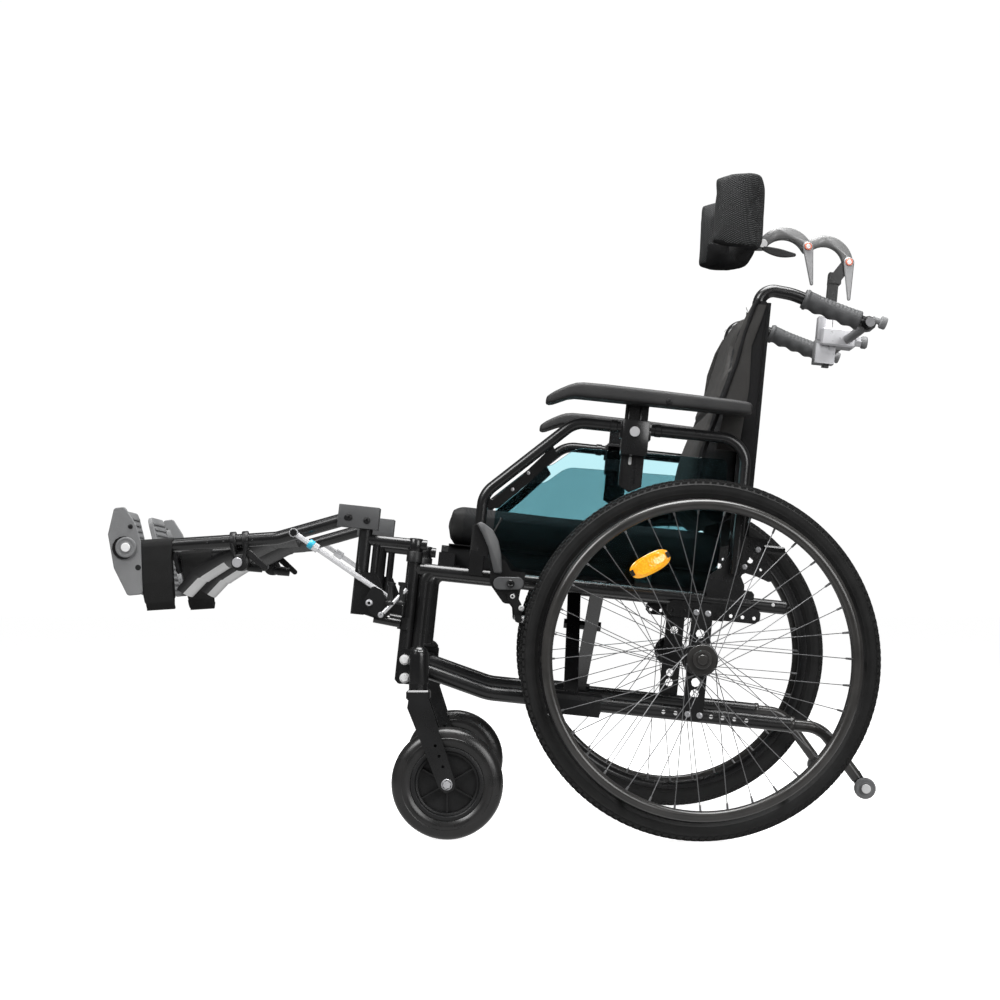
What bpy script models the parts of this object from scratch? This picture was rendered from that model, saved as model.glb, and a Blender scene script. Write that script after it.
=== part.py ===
"""A folding wheelchair with a reclining back, elevating legrests and an adjustable headrest.

The chair faces -Y, its user's left is +X, and +Z is up. The side frames slope down to the rear
by TILT, so most pieces are modelled in the frame's own space, as (x, along, up): along runs to
the rear and up is square to it. The casters and rear wheels are modelled in the level space of
the floor. A left piece is modelled once and mirrored for the right side. Each moving body has an
empty on its joint's axis, and its pieces hang from that empty.
"""

import math

import bmesh
import bpy
from mathutils import Matrix, Vector

# The whole chair, in metres
TILT = math.radians(6.0)
SHIFT = -0.0012         # moves the chair along Y, so that its origin is under its middle
GAP = 0.0003            # clearance between pieces that touch or run in each other
FRAME_X = 0.225         # centre plane of a side frame
# Side frame
TUBE_R = 0.011
LOWER_R = 0.0125
SEAT_UP = 0.440
REAR_PIVOT = (0.354, SEAT_UP + 0.057)   # the back and the armrest turn about this, as (along, up)
SEAT_END = 0.447
LOWER_UP = 0.2425
LOWER_END = 0.481
LOWER_BEND = -0.045     # where the lower tube starts to rise to the post
LOWER_FRONT = 0.279     # how high it meets the post
POST = -0.195
POST_TOP = SEAT_UP + 0.030
POST_LOW = 0.262
RAIL_PLATE = 0.005      # thickness of the perforated plate and of the caster plate
RAIL_FRONT = 0.245
RAIL_UP = SEAT_UP - 0.0235      # the row of holes in the perforated plate
RAIL_HOLES = [0.255 + 0.020 * i for i in range(8)]
LOWER_HOLES = [0.256 + 0.0205 * i for i in range(8)]
BRACKET = 0.005         # thickness of the rear bracket
BRACKET_X = 0.229       # its inner face

# Seat rails, in their cradles on the side frames
SEAT_RAIL_X = 0.178
SEAT_RAIL_R = 0.011
SEAT_RAIL_UP = SEAT_UP + 0.0366
SEAT_RAIL_FRONT = -0.152
SEAT_RAIL_REAR = 0.330
CRADLES = (-0.140, 0.200)

# Rear wheels, level space
WHEEL_R = 0.305
WHEEL_X = 0.285
WHEEL_Y = 0.338
TYRE_WIDTH = 0.035
TYRE_HEIGHT = 0.0333    # from the rim to the tread
RIM_R = WHEEL_R - TYRE_HEIGHT
RIM_DEPTH = 0.0157
RIM_WIDTH = 0.024
HANDRIM_R = RIM_R - 0.0127
HANDRIM_TUBE = 0.009
HANDRIM_X = 0.325
SPOKES = 32
SPOKE_R = 0.0011
AXLE_R = 0.006
HUB_IN = 0.2543         # inner face of the hub
HUB_OUT = 0.3165
FLANGE_R = 0.0285
AXLE_PLATE = 0.007

# Casters, level space
CASTER_X = 0.258
SWIVEL_Y = -0.137
CASTER_Y = -0.088
CASTER_R = 0.095
CASTER_WIDTH = 0.040
CASTER_RIM_R = CASTER_R - 0.0333
CASTER_RIM_WIDTH = 0.034
CASTER_HUB_R = 0.014
FORK_LEG = 0.005
FORK_INSIDE = 0.0235    # from the wheel's middle to the inner face of a fork leg
FORK_TOP = 0.2525
CASTER_AXLE_R = 0.005
STEM_R = 0.0075
STEM_TOP = 0.300
HOUSING_R = 0.0165
HOUSING_TOP = 0.322

# Armrests
ARMREST_X = 0.247
ARMREST_R = 0.009
ARMREST_FRONT = -0.088
ARMREST_TOP = 0.719
SOCKET_PLAY = 0.0012    # the front of the armrest swings out of its socket on an arc
SOCKET_R = 0.0130
SOCKET_FLOOR = SEAT_UP + 0.0397
SOCKET_TOP = SEAT_UP + 0.085
GUARD_X = 0.2255
GUARD = 0.003           # thickness of a side guard
POST_BAR = 0.005        # thickness of the armrest post's flat bar
POST_BAR_X = 0.2325     # its inner face
POST_BAR_MIDDLE = 0.160
POST_BAR_WIDTH = 0.040
POST_BAR_LOW = 0.609
PAD_LOW = 0.759
PAD_TOP = 0.785

# Brakes
BRAKE_X = 0.2603        # inner face of the lever and the shoe's arm
BRAKE_PLATE = 0.006
BRAKE_PIN_R = 0.003
LEVER_PIVOT = (-0.052, SEAT_UP + 0.020)
ARM_PIVOT = (-0.022, SEAT_UP - 0.029)
SHOE_R = 0.0065
SHOE_DOWN = 0.035       # the shoe lies this far above the axle's level

# Legrests
HANGER = -0.283
HANGER_PIN_R = 0.006
HANGER_BAR_R = 0.009
HANGER_LOW = 0.3525
HANGER_BAR_UP = SEAT_UP + 0.042
LEG_R = 0.011
LEG_PIVOT = (-0.317, 0.515)
LEG_PIVOT_R = 0.005
LEG_EYE_R = 0.0135
CLEVIS_IN = 0.0135      # half of the clevis's slot
CLEVIS_OUT = 0.0175
LEG_BENDS = ((-0.434, 0.468), (-0.615, 0.437), (-0.684, 0.4262))
STRUT_PIVOT = (-0.404, 0.480)
STRUT_PIN_R = 0.004
STRUT_X = 0.2475
STRUT_R = 0.0045
STRUT_LENGTH = 0.195
STRUT_SLOPE = math.radians(-28.3)
LOCK_X = 0.235          # inner face of the inner lock plate
CALF_MIDDLE = -0.4975
FOOT_X = 0.205
FOOT_HINGE = (-0.686, 0.4175)
FOOT_SLOPE = math.radians(-69.8)
FOOT_ROD_R = 0.006
FOOTPLATE_REACH = 0.145
FOOTPLATE_HALF = 0.075
FOOTPLATE = 0.008

# Back
CANE_X = 0.207
CANE_R = 0.0105
CANE_LOW = REAR_PIVOT[1] - 0.017
HANDLE_BENDS = ((0.354, 0.990), (0.410, 0.9855))
HANDLE_END = (0.546, 0.947)
PIVOT_PIN_R = 0.004
GRIP_R = 0.017
GRIP_START = 0.022      # from the handle's bend
GRIP_LENGTH = 0.104
CUSHION_BACK = 0.3675   # rear face of the back cushion
BACK_HALF = 0.221

# Seat
SEAT_HALF = GUARD_X - 0.0205
SLING_HALF = 0.190
SLING = 0.0035
SEAT_FRONT = -0.139
SEAT_REAR = 0.335
SEAT_THICK = 0.068
SEAT_CROWN = 0.010

# Headrest
CROSSBAR_R = 0.008
CROSSBAR_HALF = 0.232
HEAD_POST = 0.512
HEAD_POST_SIZE = 0.012
HEAD_POST_LOW = 0.893
HEAD_ARM = 0.009        # half the width of an arm across the chair
HEAD_EAR = 0.004
HEAD_PIN_R = 0.003
HEAD_PIVOTS = ((0.535, 1.090), (0.457, 1.111), (0.374, 1.109))
HEAD_CROWNS = ((0.500, 1.127), (0.412, 1.134))      # the tops of the two curved arms
HEAD_WING = 0.114       # from the middle to a wing of the pad
HEAD_FRONT = 0.266
HEAD_BACK = 0.343
HEAD_LOW = 1.076
HEAD_TOP = 1.201

# Anti-tippers
TIPPER_R = 0.0095
TIPPER_START = 0.430
TIPPER_WHEEL = (0.609, 0.1495)
TIPPER_WHEEL_R = 0.018
TIPPER_WHEEL_X = 0.2445
TIPPER_WHEEL_WIDTH = 0.016
TIPPER_AXLE_R = 0.003

# Cross bars
BAR_LEFT = 0.097
BAR_RIGHT = 0.130
BAR_WIDTH = 0.024
BAR_THICK = 0.012
SLEEVE_R = 0.0168
SLEEVE_FRONT = 0.066
SLEEVE_REAR = 0.150
SADDLE_DROP = 0.022
CROSS_BOLT_R = 0.006

# Tidying of the finished meshes
MERGE = 0.000002        # points closer than this are one
FLAT = math.radians(0.3)        # faces that meet at less than this are one

# Faces of round pieces
SIDES = 8
PIN_SIDES = 6
PIN_LIMIT = 0.0045      # bars thinner than this have PIN_SIDES
WHEEL_SIDES = 32        # as many as spokes, so that each spoke ends within a face of the rim
CASTER_SIDES = 18


# Helpers that make meshes

def new_object(bm):
    """Turn a bmesh into an object whose faces point out."""
    bmesh.ops.recalc_face_normals(bm, faces=bm.faces)
    mesh = bpy.data.meshes.new("piece")
    bm.to_mesh(mesh)
    bm.free()
    obj = bpy.data.objects.new("piece", mesh)
    bpy.context.scene.collection.objects.link(obj)
    return obj


def add_skin(bm, rings, closed=False):
    """Skin a row of rings of equal counts, and cap its ends unless it closes on itself."""
    rows = []
    for ring in rings:
        rows.append([bm.verts.new(point) for point in ring])
    pairs = list(zip(rows, rows[1:]))
    if closed:
        pairs.append((rows[-1], rows[0]))
    for low, high in pairs:
        for i in range(len(low)):
            j = (i + 1) % len(low)
            bm.faces.new((low[i], low[j], high[j], high[i]))
    if not closed:
        bm.faces.new(rows[0])
        bm.faces.new(rows[-1])


def loft(rings, closed=False):
    bm = bmesh.new()
    add_skin(bm, rings, closed)
    return new_object(bm)


def ring(middle, side, up, radius, sides, turn=0.0):
    """Points of a circle, the first of them turned from side by an angle."""
    points = []
    for i in range(sides):
        angle = 2 * math.pi * i / sides + turn
        points.append(middle + side * (radius * math.cos(angle)) + up * (radius * math.sin(angle)))
    return points


def square_to(ahead):
    """Two directions square to a third, the first of them across the chair where it can be."""
    side = Vector((1, 0, 0))
    if abs(ahead.x) > 0.9:
        side = Vector((0, 0, 1))
    side = (side - ahead * side.dot(ahead)).normalized()
    return side, ahead.cross(side)


def faces_round(radius):
    return PIN_SIDES if radius < PIN_LIMIT else SIDES


def tube(path, radius, sides=None, turn=0.0):
    """A round bar along a path; radius is one value, or one for each point."""
    path = [Vector(point) for point in path]
    radii = radius if isinstance(radius, (list, tuple)) else [radius] * len(path)
    sides = sides or faces_round(max(radii))
    rings = []
    side = None
    for i, point in enumerate(path):
        ahead = (path[min(i + 1, len(path) - 1)] - path[max(i - 1, 0)]).normalized()
        if side is None:
            side = square_to(ahead)[0]
        side = (side - ahead * side.dot(ahead)).normalized()
        rings.append(ring(point, side, ahead.cross(side), radii[i], sides, turn))
    return loft(rings)


def rounded(points, radius, steps=3, closed=False):
    """Round the corners of a path or an outline with arcs that are tangent to their runs."""
    points = [Vector(point) for point in points]
    count = len(points)
    radii = radius if isinstance(radius, (list, tuple)) else [radius] * count
    result = []
    for i, corner in enumerate(points):
        if not closed and i in (0, count - 1):
            result.append(corner)
            continue
        before = points[i - 1] - corner
        after = points[(i + 1) % count] - corner
        reach = 0.49 * min(before.length, after.length)
        before.normalize()
        after.normalize()
        half = before.angle(after) / 2
        bend = min(radii[i], reach * math.tan(half))
        start = before * (bend / math.tan(half))
        end = after * (bend / math.tan(half))
        centre = (before + after).normalized() * (bend / math.sin(half))
        sweep = math.pi - 2 * half
        for step in range(steps + 1):
            share = step / steps
            first = (start - centre) * math.sin((1 - share) * sweep)
            last = (end - centre) * math.sin(share * sweep)
            result.append(corner + centre + (first + last) / math.sin(sweep))
    return result


def bent_tube(x, points, radius, bend, sides=None, steps=3):
    """A tube in a plane along the chair, given by its (along, up) corners."""
    path = [(x, along, up) for along, up in points]
    return tube(rounded(path, bend, steps), radius, sides)


def across(spot, low, high, radius, sides=None):
    """A round bar across the chair at an (along, up) spot, from x low to x high."""
    return tube([(low, spot[0], spot[1]), (high, spot[0], spot[1])], radius, sides)


def upright(x, along, low, high, radius, sides=None):
    return tube([(x, along, low), (x, along, high)], radius, sides)


def lathe(profile, centre, axis, segments=24, closed=False, turn=0.0):
    """Turn a profile of (radius, distance along the axis) about an axis."""
    ahead = Vector(axis).normalized()
    side, up = square_to(ahead)
    rings = []
    for radius, distance in profile:
        rings.append(ring(Vector(centre) + ahead * distance, side, up, radius, segments, turn))
    return loft(rings, closed)


def wheel_ring(profile, centre, segments):
    """A ring about a wheel's axle with a flat face of its polygon at its foot."""
    return lathe(profile, centre, (1, 0, 0), segments, True, math.pi / segments)


def corner_radius(radius, segments):
    """The corner radius of a ring whose flat faces lie at a radius."""
    return radius / math.cos(math.pi / segments)


def plate(outline, low, high):
    """A flat plate square to X, from its (along, up) outline."""
    rings = []
    for x in (low, high):
        rings.append([(x, point[0], point[1]) for point in outline])
    return loft(rings)


def block(low, high, bevel=0.0):
    """A box between two corners, with its edges cut back by bevel."""
    bm = bmesh.new()
    bmesh.ops.create_cube(bm, size=1.0)
    low = Vector(low)
    high = Vector(high)
    for vert in bm.verts:
        share = vert.co + Vector((0.5, 0.5, 0.5))
        vert.co = [low[i] + (high[i] - low[i]) * share[i] for i in range(3)]
    if bevel:
        bmesh.ops.bevel(bm, geom=bm.edges[:], offset=bevel, segments=1, affect="EDGES")
    return new_object(bm)


def capsule(start, end, start_r, end_r, steps=3):
    """The outline of an arm with two round ends, as (along, up) points."""
    start = Vector(start)
    end = Vector(end)
    ahead = (end - start).angle_signed(Vector((1, 0)))
    lean = math.acos((start_r - end_r) / (end - start).length)
    outline = []
    around = 2 * math.pi - lean
    for middle, radius, first, last in ((end, end_r, -lean, lean), (start, start_r, lean, around)):
        for step in range(steps + 1):
            angle = ahead + first + (last - first) * step / steps
            outline.append(middle + Vector((math.cos(angle), math.sin(angle))) * radius)
    return outline


def bow(start, middle, end, half, steps=5):
    """The outline of a band along the arc through three (along, up) points, with round ends."""
    ax, ay = start
    bx, by = middle
    cx, cy = end
    scale = 2 * (ax * (by - cy) + bx * (cy - ay) + cx * (ay - by))
    sa, sb, sc = ax * ax + ay * ay, bx * bx + by * by, cx * cx + cy * cy
    centre = Vector((
        (sa * (by - cy) + sb * (cy - ay) + sc * (ay - by)) / scale,
        (sa * (cx - bx) + sb * (ax - cx) + sc * (bx - ax)) / scale,
    ))
    radius = (Vector(start) - centre).length
    first = math.atan2(ay - centre.y, ax - centre.x)
    last = math.atan2(cy - centre.y, cx - centre.x)
    sweep = (last - first + math.pi) % (2 * math.pi) - math.pi
    turn = 1 if sweep > 0 else -1
    outline = []
    for step in range(steps + 1):
        angle = first + sweep * step / steps
        outline.append(centre + Vector((math.cos(angle), math.sin(angle))) * (radius + half))
    for step in range(1, 4):
        angle = last + turn * math.pi * step / 4
        outline.append(Vector(end) + Vector((math.cos(angle), math.sin(angle))) * half)
    for step in range(steps + 1):
        angle = last - sweep * step / steps
        outline.append(centre + Vector((math.cos(angle), math.sin(angle))) * (radius - half))
    for step in range(1, 4):
        angle = first + math.pi + turn * math.pi * step / 4
        outline.append(Vector(start) + Vector((math.cos(angle), math.sin(angle))) * half)
    return outline


def combine(target, tools, operation="UNION"):
    """Join tools to a target, or cut them out of it, and remove the tools."""
    for tool in tools:
        step = target.modifiers.new("step", "BOOLEAN")
        step.operation = operation
        step.solver = "EXACT"
        step.object = tool
    view = bpy.context.evaluated_depsgraph_get()
    mesh = bpy.data.meshes.new_from_object(target.evaluated_get(view))
    target.modifiers.clear()
    target.data = mesh
    for tool in tools:
        bpy.data.objects.remove(tool)
    return target


def cut(target, tools):
    return combine(target, tools, "DIFFERENCE")


def drill(target, spots, radius, low, high, sides=5):
    """Cut a row of holes across the chair, at (along, up) spots."""
    bm = bmesh.new()
    top = Vector((0, 0, 1))
    rear = Vector((0, 1, 0))
    for along, up in spots:
        add_skin(bm, [ring(Vector((x, along, up)), top, rear, radius, sides) for x in (low, high)])
    return cut(target, [new_object(bm)])


def hole(radius):
    """The corner radius of a hole whose flats clear a pin by GAP."""
    return (radius + GAP) / math.cos(math.pi / faces_round(radius))


def running_bore(path, radius):
    """What is cut for a bar that turns in it: at rest its flats lie over the bar's corners."""
    sides = faces_round(radius)
    return tube(path, hole(radius), sides, math.pi / sides)


def moved(obj, matrix):
    obj.data.transform(matrix)
    return obj


def section(half_wide, half_high, power, count):
    """A soft rectangle with round corners, as (across, high) points."""
    points = []
    for i in range(count):
        angle = 2 * math.pi * (i + 0.5) / count
        wide = abs(math.cos(angle)) ** (2 / power) * half_wide
        high = abs(math.sin(angle)) ** (2 / power) * half_high
        points.append((math.copysign(wide, math.cos(angle)), math.copysign(high, math.sin(angle))))
    return points


# Side frame

def frame_tubes():
    seat_tube = bent_tube(FRAME_X, ((POST, SEAT_UP), (SEAT_END, SEAT_UP)), TUBE_R, 0)
    lower = ((POST, LOWER_FRONT), (LOWER_BEND, LOWER_UP), (LOWER_END, LOWER_UP))
    lower_tube = bent_tube(FRAME_X, lower, LOWER_R, 0.10)
    post = upright(FRAME_X, POST, POST_LOW, POST_TOP, TUBE_R)
    return combine(post, [seat_tube, lower_tube])


def frame_plates():
    """The perforated plate for the axle plate, and the plate that carries the caster housing."""
    low = FRAME_X + LOWER_R - RAIL_PLATE
    bottom = RAIL_UP - 0.0095
    top = RAIL_UP + 0.0175
    rail = ((RAIL_FRONT, bottom), (0.405, bottom), (0.405, top), (RAIL_FRONT, top))
    rail = plate(rounded(rail, 0.008, 1, True), low, low + RAIL_PLATE)
    rail = drill(rail, [(along, RAIL_UP) for along in RAIL_HOLES], 0.0037, low - 0.01, low + 0.01)
    front = ((-0.206, 0.243), (-0.150, 0.243), (-0.150, 0.303), (-0.206, 0.303))
    front = rounded(front, 0.006, 1, True)
    low = FRAME_X + 0.010
    return [rail, plate(front, low, low + RAIL_PLATE)]


def rear_bracket():
    """The bracket with the recline holes, its lock housing and the shared rear pivot."""
    pivot = Vector(REAR_PIVOT)
    foot = ((-0.019, -0.065), (0.0375, -0.065), (0.0375, -0.035), (0.017, -0.034), (0.010, -0.017))
    tail = ((0.015, -0.004), (0.040, -0.009), (0.063, -0.017), (0.068, -0.011), (0.059, 0.009))
    head = ((0.050, 0.025), (0.056, 0.048), (0.052, 0.056), (0.014, 0.059), (-0.002, 0.048),
            (-0.019, 0.008))
    outline = [pivot + Vector(spot) for spot in foot + tail + head]
    bracket = plate(rounded(outline, 0.005, 1, True), BRACKET_X, BRACKET_X + BRACKET)
    spots = []
    for step in range(4):
        angle = math.radians(5 + 20 * step)
        spots.append(pivot + Vector((math.cos(angle), math.sin(angle))) * 0.045)
    bracket = drill(bracket, spots, 0.0030, BRACKET_X - 0.01, BRACKET_X + 0.01)
    bracket = drill(bracket, [pivot + Vector((0.025, 0.018))], 0.0055, BRACKET_X - 0.01, BRACKET_X + 0.01, 8)
    cover = across(pivot + Vector((-0.014, -0.034)), BRACKET_X, BRACKET_X + 0.0065, 0.034, 14)
    cane_side = CANE_X + CANE_R + GAP
    arm_side = ARMREST_X - ARMREST_R - GAP
    lock = block((GUARD_X + GUARD + GAP, pivot.x + 0.044, pivot.y + 0.0335),
                 (arm_side, pivot.x + 0.083, pivot.y + 0.0465), 0.003)
    boss = across(REAR_PIVOT, cane_side, arm_side, 0.009)
    pin = across(REAR_PIVOT, CANE_X - CANE_R - 0.001, ARMREST_X + ARMREST_R + 0.0015, PIVOT_PIN_R)
    return combine(bracket, [cover, lock, boss, pin])


def rail_cradles():
    cradles = []
    notch_r = SEAT_RAIL_R + 0.0015
    notch_up = SEAT_RAIL_UP + notch_r - SEAT_RAIL_R - GAP
    for along in CRADLES:
        low = (SEAT_RAIL_X - 0.0155, along - 0.014, SEAT_UP + 0.004)
        cradle = block(low, (FRAME_X, along + 0.014, SEAT_RAIL_UP - 0.0026))
        ends = [(SEAT_RAIL_X, along - 0.03, notch_up), (SEAT_RAIL_X, along + 0.03, notch_up)]
        cradles.append(cut(cradle, [tube(ends, notch_r)]))
    return cradles


def armrest_socket():
    base = block((FRAME_X, ARMREST_FRONT - 0.012, SEAT_UP),
                 (ARMREST_X + SOCKET_R, ARMREST_FRONT + 0.012, SOCKET_FLOOR + 0.0023))
    cup = upright(ARMREST_X, ARMREST_FRONT, SEAT_UP + 0.01, SOCKET_TOP, SOCKET_R)
    bore = (ARMREST_R + SOCKET_PLAY) / math.cos(math.pi / SIDES)
    inside = upright(ARMREST_X, ARMREST_FRONT, SOCKET_FLOOR, SOCKET_TOP + 0.01, bore)
    return cut(combine(base, [cup]), [inside])


def brake_mount():
    """The clamp on the seat tube that carries the brake, with the pins of its lever and arm."""
    outer = BRAKE_X - GAP
    clamp = block((FRAME_X - 0.0125, -0.059, SEAT_UP - 0.0135), (outer, -0.003, SEAT_UP + 0.0135))
    outline = ((-0.064, 0.032), (-0.062, -0.010), (-0.034, -0.042), (-0.010, -0.042), (-0.008, -0.015),
               (-0.040, 0.032))
    outline = [(along, SEAT_UP + up) for along, up in outline]
    cheek = plate(rounded(outline, 0.006, 1, True), outer - 0.004, outer)
    pieces = [cheek]
    face = BRAKE_X + BRAKE_PLATE + GAP
    for spot in (LEVER_PIVOT, ARM_PIVOT):
        pieces.append(across(spot, outer - 0.001, face, BRAKE_PIN_R))
        pieces.append(across(spot, face, face + 0.0015, 0.005, 6))
    return combine(clamp, pieces)


def side_frame():
    frame = combine(frame_tubes(), frame_plates() + rail_cradles())
    frame = combine(frame, [rear_bracket(), armrest_socket(), brake_mount()])
    pin_hole = upright(FRAME_X, POST, SEAT_UP, POST_TOP + 0.01, hole(HANGER_PIN_R))
    ends = [(FRAME_X, TIPPER_START - 0.01, LOWER_UP), (FRAME_X, LOWER_END + 0.01, LOWER_UP)]
    bore = running_bore(ends, TIPPER_R)
    frame = cut(frame, [pin_hole, bore])
    spots = [(along, LOWER_UP) for along in LOWER_HOLES]
    return drill(frame, spots, 0.003, FRAME_X + LOWER_R - 0.006, FRAME_X + LOWER_R + 0.01)


# Rear wheel

def to_frame(y, z):
    """The (along, up) place of a point of the level space."""
    return (y * math.cos(TILT) - z * math.sin(TILT), y * math.sin(TILT) + z * math.cos(TILT))


def axle_plate():
    low = FRAME_X + LOWER_R + GAP
    along, up = to_frame(WHEEL_Y, WHEEL_R)
    front = along - 0.0165
    rear = along + 0.0190
    low_end = LOWER_UP - 0.0105
    top_end = RAIL_UP + 0.0085
    outline = ((front, low_end), (rear, low_end), (rear, top_end), (front, top_end))
    piece = plate(rounded(outline, 0.008, 2, True), low, low + AXLE_PLATE)
    big = [(along + 0.001, up + 0.042), (along + 0.001, up - 0.041), (along + 0.001, up - 0.0607)]
    piece = drill(piece, big, 0.0080, low - 0.01, low + 0.02, 8)
    bolts = [(spot, RAIL_UP) for spot in RAIL_HOLES[2:4]] + [(spot, LOWER_UP) for spot in LOWER_HOLES[2:4]]
    piece = drill(piece, bolts, 0.0034, low - 0.01, low + 0.02)
    boss = across((along, up), low + 0.001, HUB_IN - GAP, 0.018, 12)
    nut = across((along, up), low - 0.004, low + 0.001, 0.0125, 6)
    axle = across((along, up), low - 0.003, HUB_OUT + 0.002, AXLE_R)
    return combine(piece, [boss, nut, axle])


def spoke_set():
    """Crossed spokes from the two hub flanges to the rim, as one set of separate bars."""
    bm = bmesh.new()
    centre = Vector((0, WHEEL_Y, WHEEL_R))
    flanges = (HUB_IN + 0.0065, HUB_OUT - 0.0140)
    each = SPOKES // 2
    for number in range(SPOKES):
        flange = number % 2
        lead = 1 if (number // 2) % 2 else -1
        angle = 2 * math.pi * (number // 2 + 0.5 * flange) / each
        start_angle = angle + lead * math.radians(62)
        out = Vector((1, 0, 0))
        start = centre + Vector((0, math.sin(start_angle), math.cos(start_angle))) * (FLANGE_R - 0.0035)
        start += out * (flanges[flange] + lead * 0.0022)
        end = centre + Vector((0, math.sin(angle), math.cos(angle))) * (RIM_R - RIM_DEPTH + 0.0012)
        end += out * (WHEEL_X + (2 * flange - 1) * 0.003 + lead * 0.0018)
        ahead = (end - start).normalized()
        side, up = square_to(ahead)
        add_skin(bm, [ring(start, side, up, SPOKE_R, 3), ring(end, side, up, SPOKE_R, 3)])
    return new_object(bm)


def rear_wheel():
    centre = (0, WHEEL_Y, WHEEL_R)
    half = RIM_WIDTH / 2
    inner = RIM_R - RIM_DEPTH
    rim = [(RIM_R, -half), (RIM_R, half), (RIM_R - 0.010, half), (inner, 0.0075), (inner, -0.0075),
           (RIM_R - 0.010, -half)]
    rim = wheel_ring([(radius, WHEEL_X + x) for radius, x in rim], centre, WHEEL_SIDES)
    bore = hole(AXLE_R)
    hub = [(bore, HUB_IN), (0.020, HUB_IN), (FLANGE_R, HUB_IN + 0.0035), (FLANGE_R, HUB_IN + 0.0095),
           (0.0145, HUB_IN + 0.012), (0.0145, HUB_OUT - 0.019), (FLANGE_R, HUB_OUT - 0.0165),
           (FLANGE_R, HUB_OUT - 0.011), (0.018, HUB_OUT - 0.010), (0.0165, HUB_OUT), (bore, HUB_OUT)]
    hub = lathe(hub, centre, (1, 0, 0), 10, True)
    return combine(spoke_set(), [rim, hub])


def rear_tyre():
    half = TYRE_WIDTH / 2
    inner = RIM_R + GAP
    outer = corner_radius(WHEEL_R, WHEEL_SIDES)
    profile = [(inner, -0.011), (inner + 0.014, -half), (outer - 0.009, -half), (outer, -0.007),
               (outer, 0.007), (outer - 0.009, half), (inner + 0.014, half), (inner, 0.011)]
    profile = [(radius, WHEEL_X + x) for radius, x in profile]
    return wheel_ring(profile, (0, WHEEL_Y, WHEEL_R), WHEEL_SIDES)


def handrim():
    centre = Vector((0, WHEEL_Y, WHEEL_R))
    profile = []
    for i in range(6):
        angle = 2 * math.pi * (i + 0.5) / 6
        radius = HANDRIM_R + HANDRIM_TUBE * math.cos(angle)
        profile.append((radius, HANDRIM_X - HANDRIM_TUBE * math.sin(angle)))
    hoop = lathe(profile, centre, (1, 0, 0), WHEEL_SIDES, True)
    posts = []
    foot = RIM_R - 0.0055
    for i in range(6):
        angle = 2 * math.pi * (i + 0.5) / 6
        out = Vector((0, math.sin(angle), math.cos(angle)))
        beside = Vector((0, math.cos(angle), -math.sin(angle)))
        start = centre + out * foot + Vector((WHEEL_X + RIM_WIDTH / 2 + GAP, 0, 0))
        end = centre + out * HANDRIM_R + Vector((HANDRIM_X, 0, 0))
        posts.append(loft([ring(start, out, beside, 0.0050, 5), ring(end, out, beside, 0.0038, 5)]))
    return combine(hoop, posts)


# Caster

def caster_housing():
    """The bearing housing, square to the floor and then turned into the frame's own space."""
    low = FRAME_X + 0.010 + RAIL_PLATE + GAP
    floor = FORK_TOP + GAP
    profile = [(HOUSING_R, floor), (HOUSING_R, HOUSING_TOP - 0.005), (HOUSING_R - 0.004, HOUSING_TOP)]
    cup = lathe(profile, (CASTER_X, SWIVEL_Y, 0), (0, 0, 1), 12)
    pad = block((low, -0.171, 0.262), (low + 0.012, -0.125, 0.315))
    bolts = [across((-0.161, up), low + 0.011, low + 0.0155, 0.006, 6) for up in (0.303, 0.272)]
    stem = upright(CASTER_X, SWIVEL_Y, floor - 0.01, STEM_TOP + 0.002, hole(STEM_R))
    return moved(cut(combine(cup, [pad] + bolts), [stem]), Matrix.Rotation(TILT, 4, "X"))


def caster_fork():
    crown_half = FORK_INSIDE + FORK_LEG
    crown_low = FORK_TOP - 0.0165
    crown = block((CASTER_X - crown_half, SWIVEL_Y - 0.020, crown_low),
                  (CASTER_X + crown_half, SWIVEL_Y + 0.020, FORK_TOP), 0.003)
    legs = []
    outline = capsule((SWIVEL_Y, FORK_TOP - 0.022), (CASTER_Y, CASTER_R), 0.0195, 0.0145)
    holes = []
    for step in range(3):
        share = 0.52 + 0.13 * step
        holes.append((SWIVEL_Y + (CASTER_Y - SWIVEL_Y) * share + 0.004,
                      FORK_TOP - 0.022 + (CASTER_R - FORK_TOP + 0.022) * share))
    for sign in (-1, 1):
        faces = sorted((CASTER_X + sign * FORK_INSIDE, CASTER_X + sign * crown_half))
        leg = plate(outline, faces[0], faces[1])
        legs.append(drill(leg, holes, 0.0030, faces[0] - 0.01, faces[1] + 0.01, 5))
        head = sorted((CASTER_X + sign * (crown_half - 0.001), CASTER_X + sign * (crown_half + 0.004)))
        legs.append(across((CASTER_Y, CASTER_R), head[0], head[1], 0.008, 6))
    axle = across((CASTER_Y, CASTER_R), CASTER_X - crown_half, CASTER_X + crown_half, CASTER_AXLE_R)
    stem = upright(CASTER_X, SWIVEL_Y, FORK_TOP - 0.005, STEM_TOP, STEM_R)
    return combine(crown, legs + [axle, stem])


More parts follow.
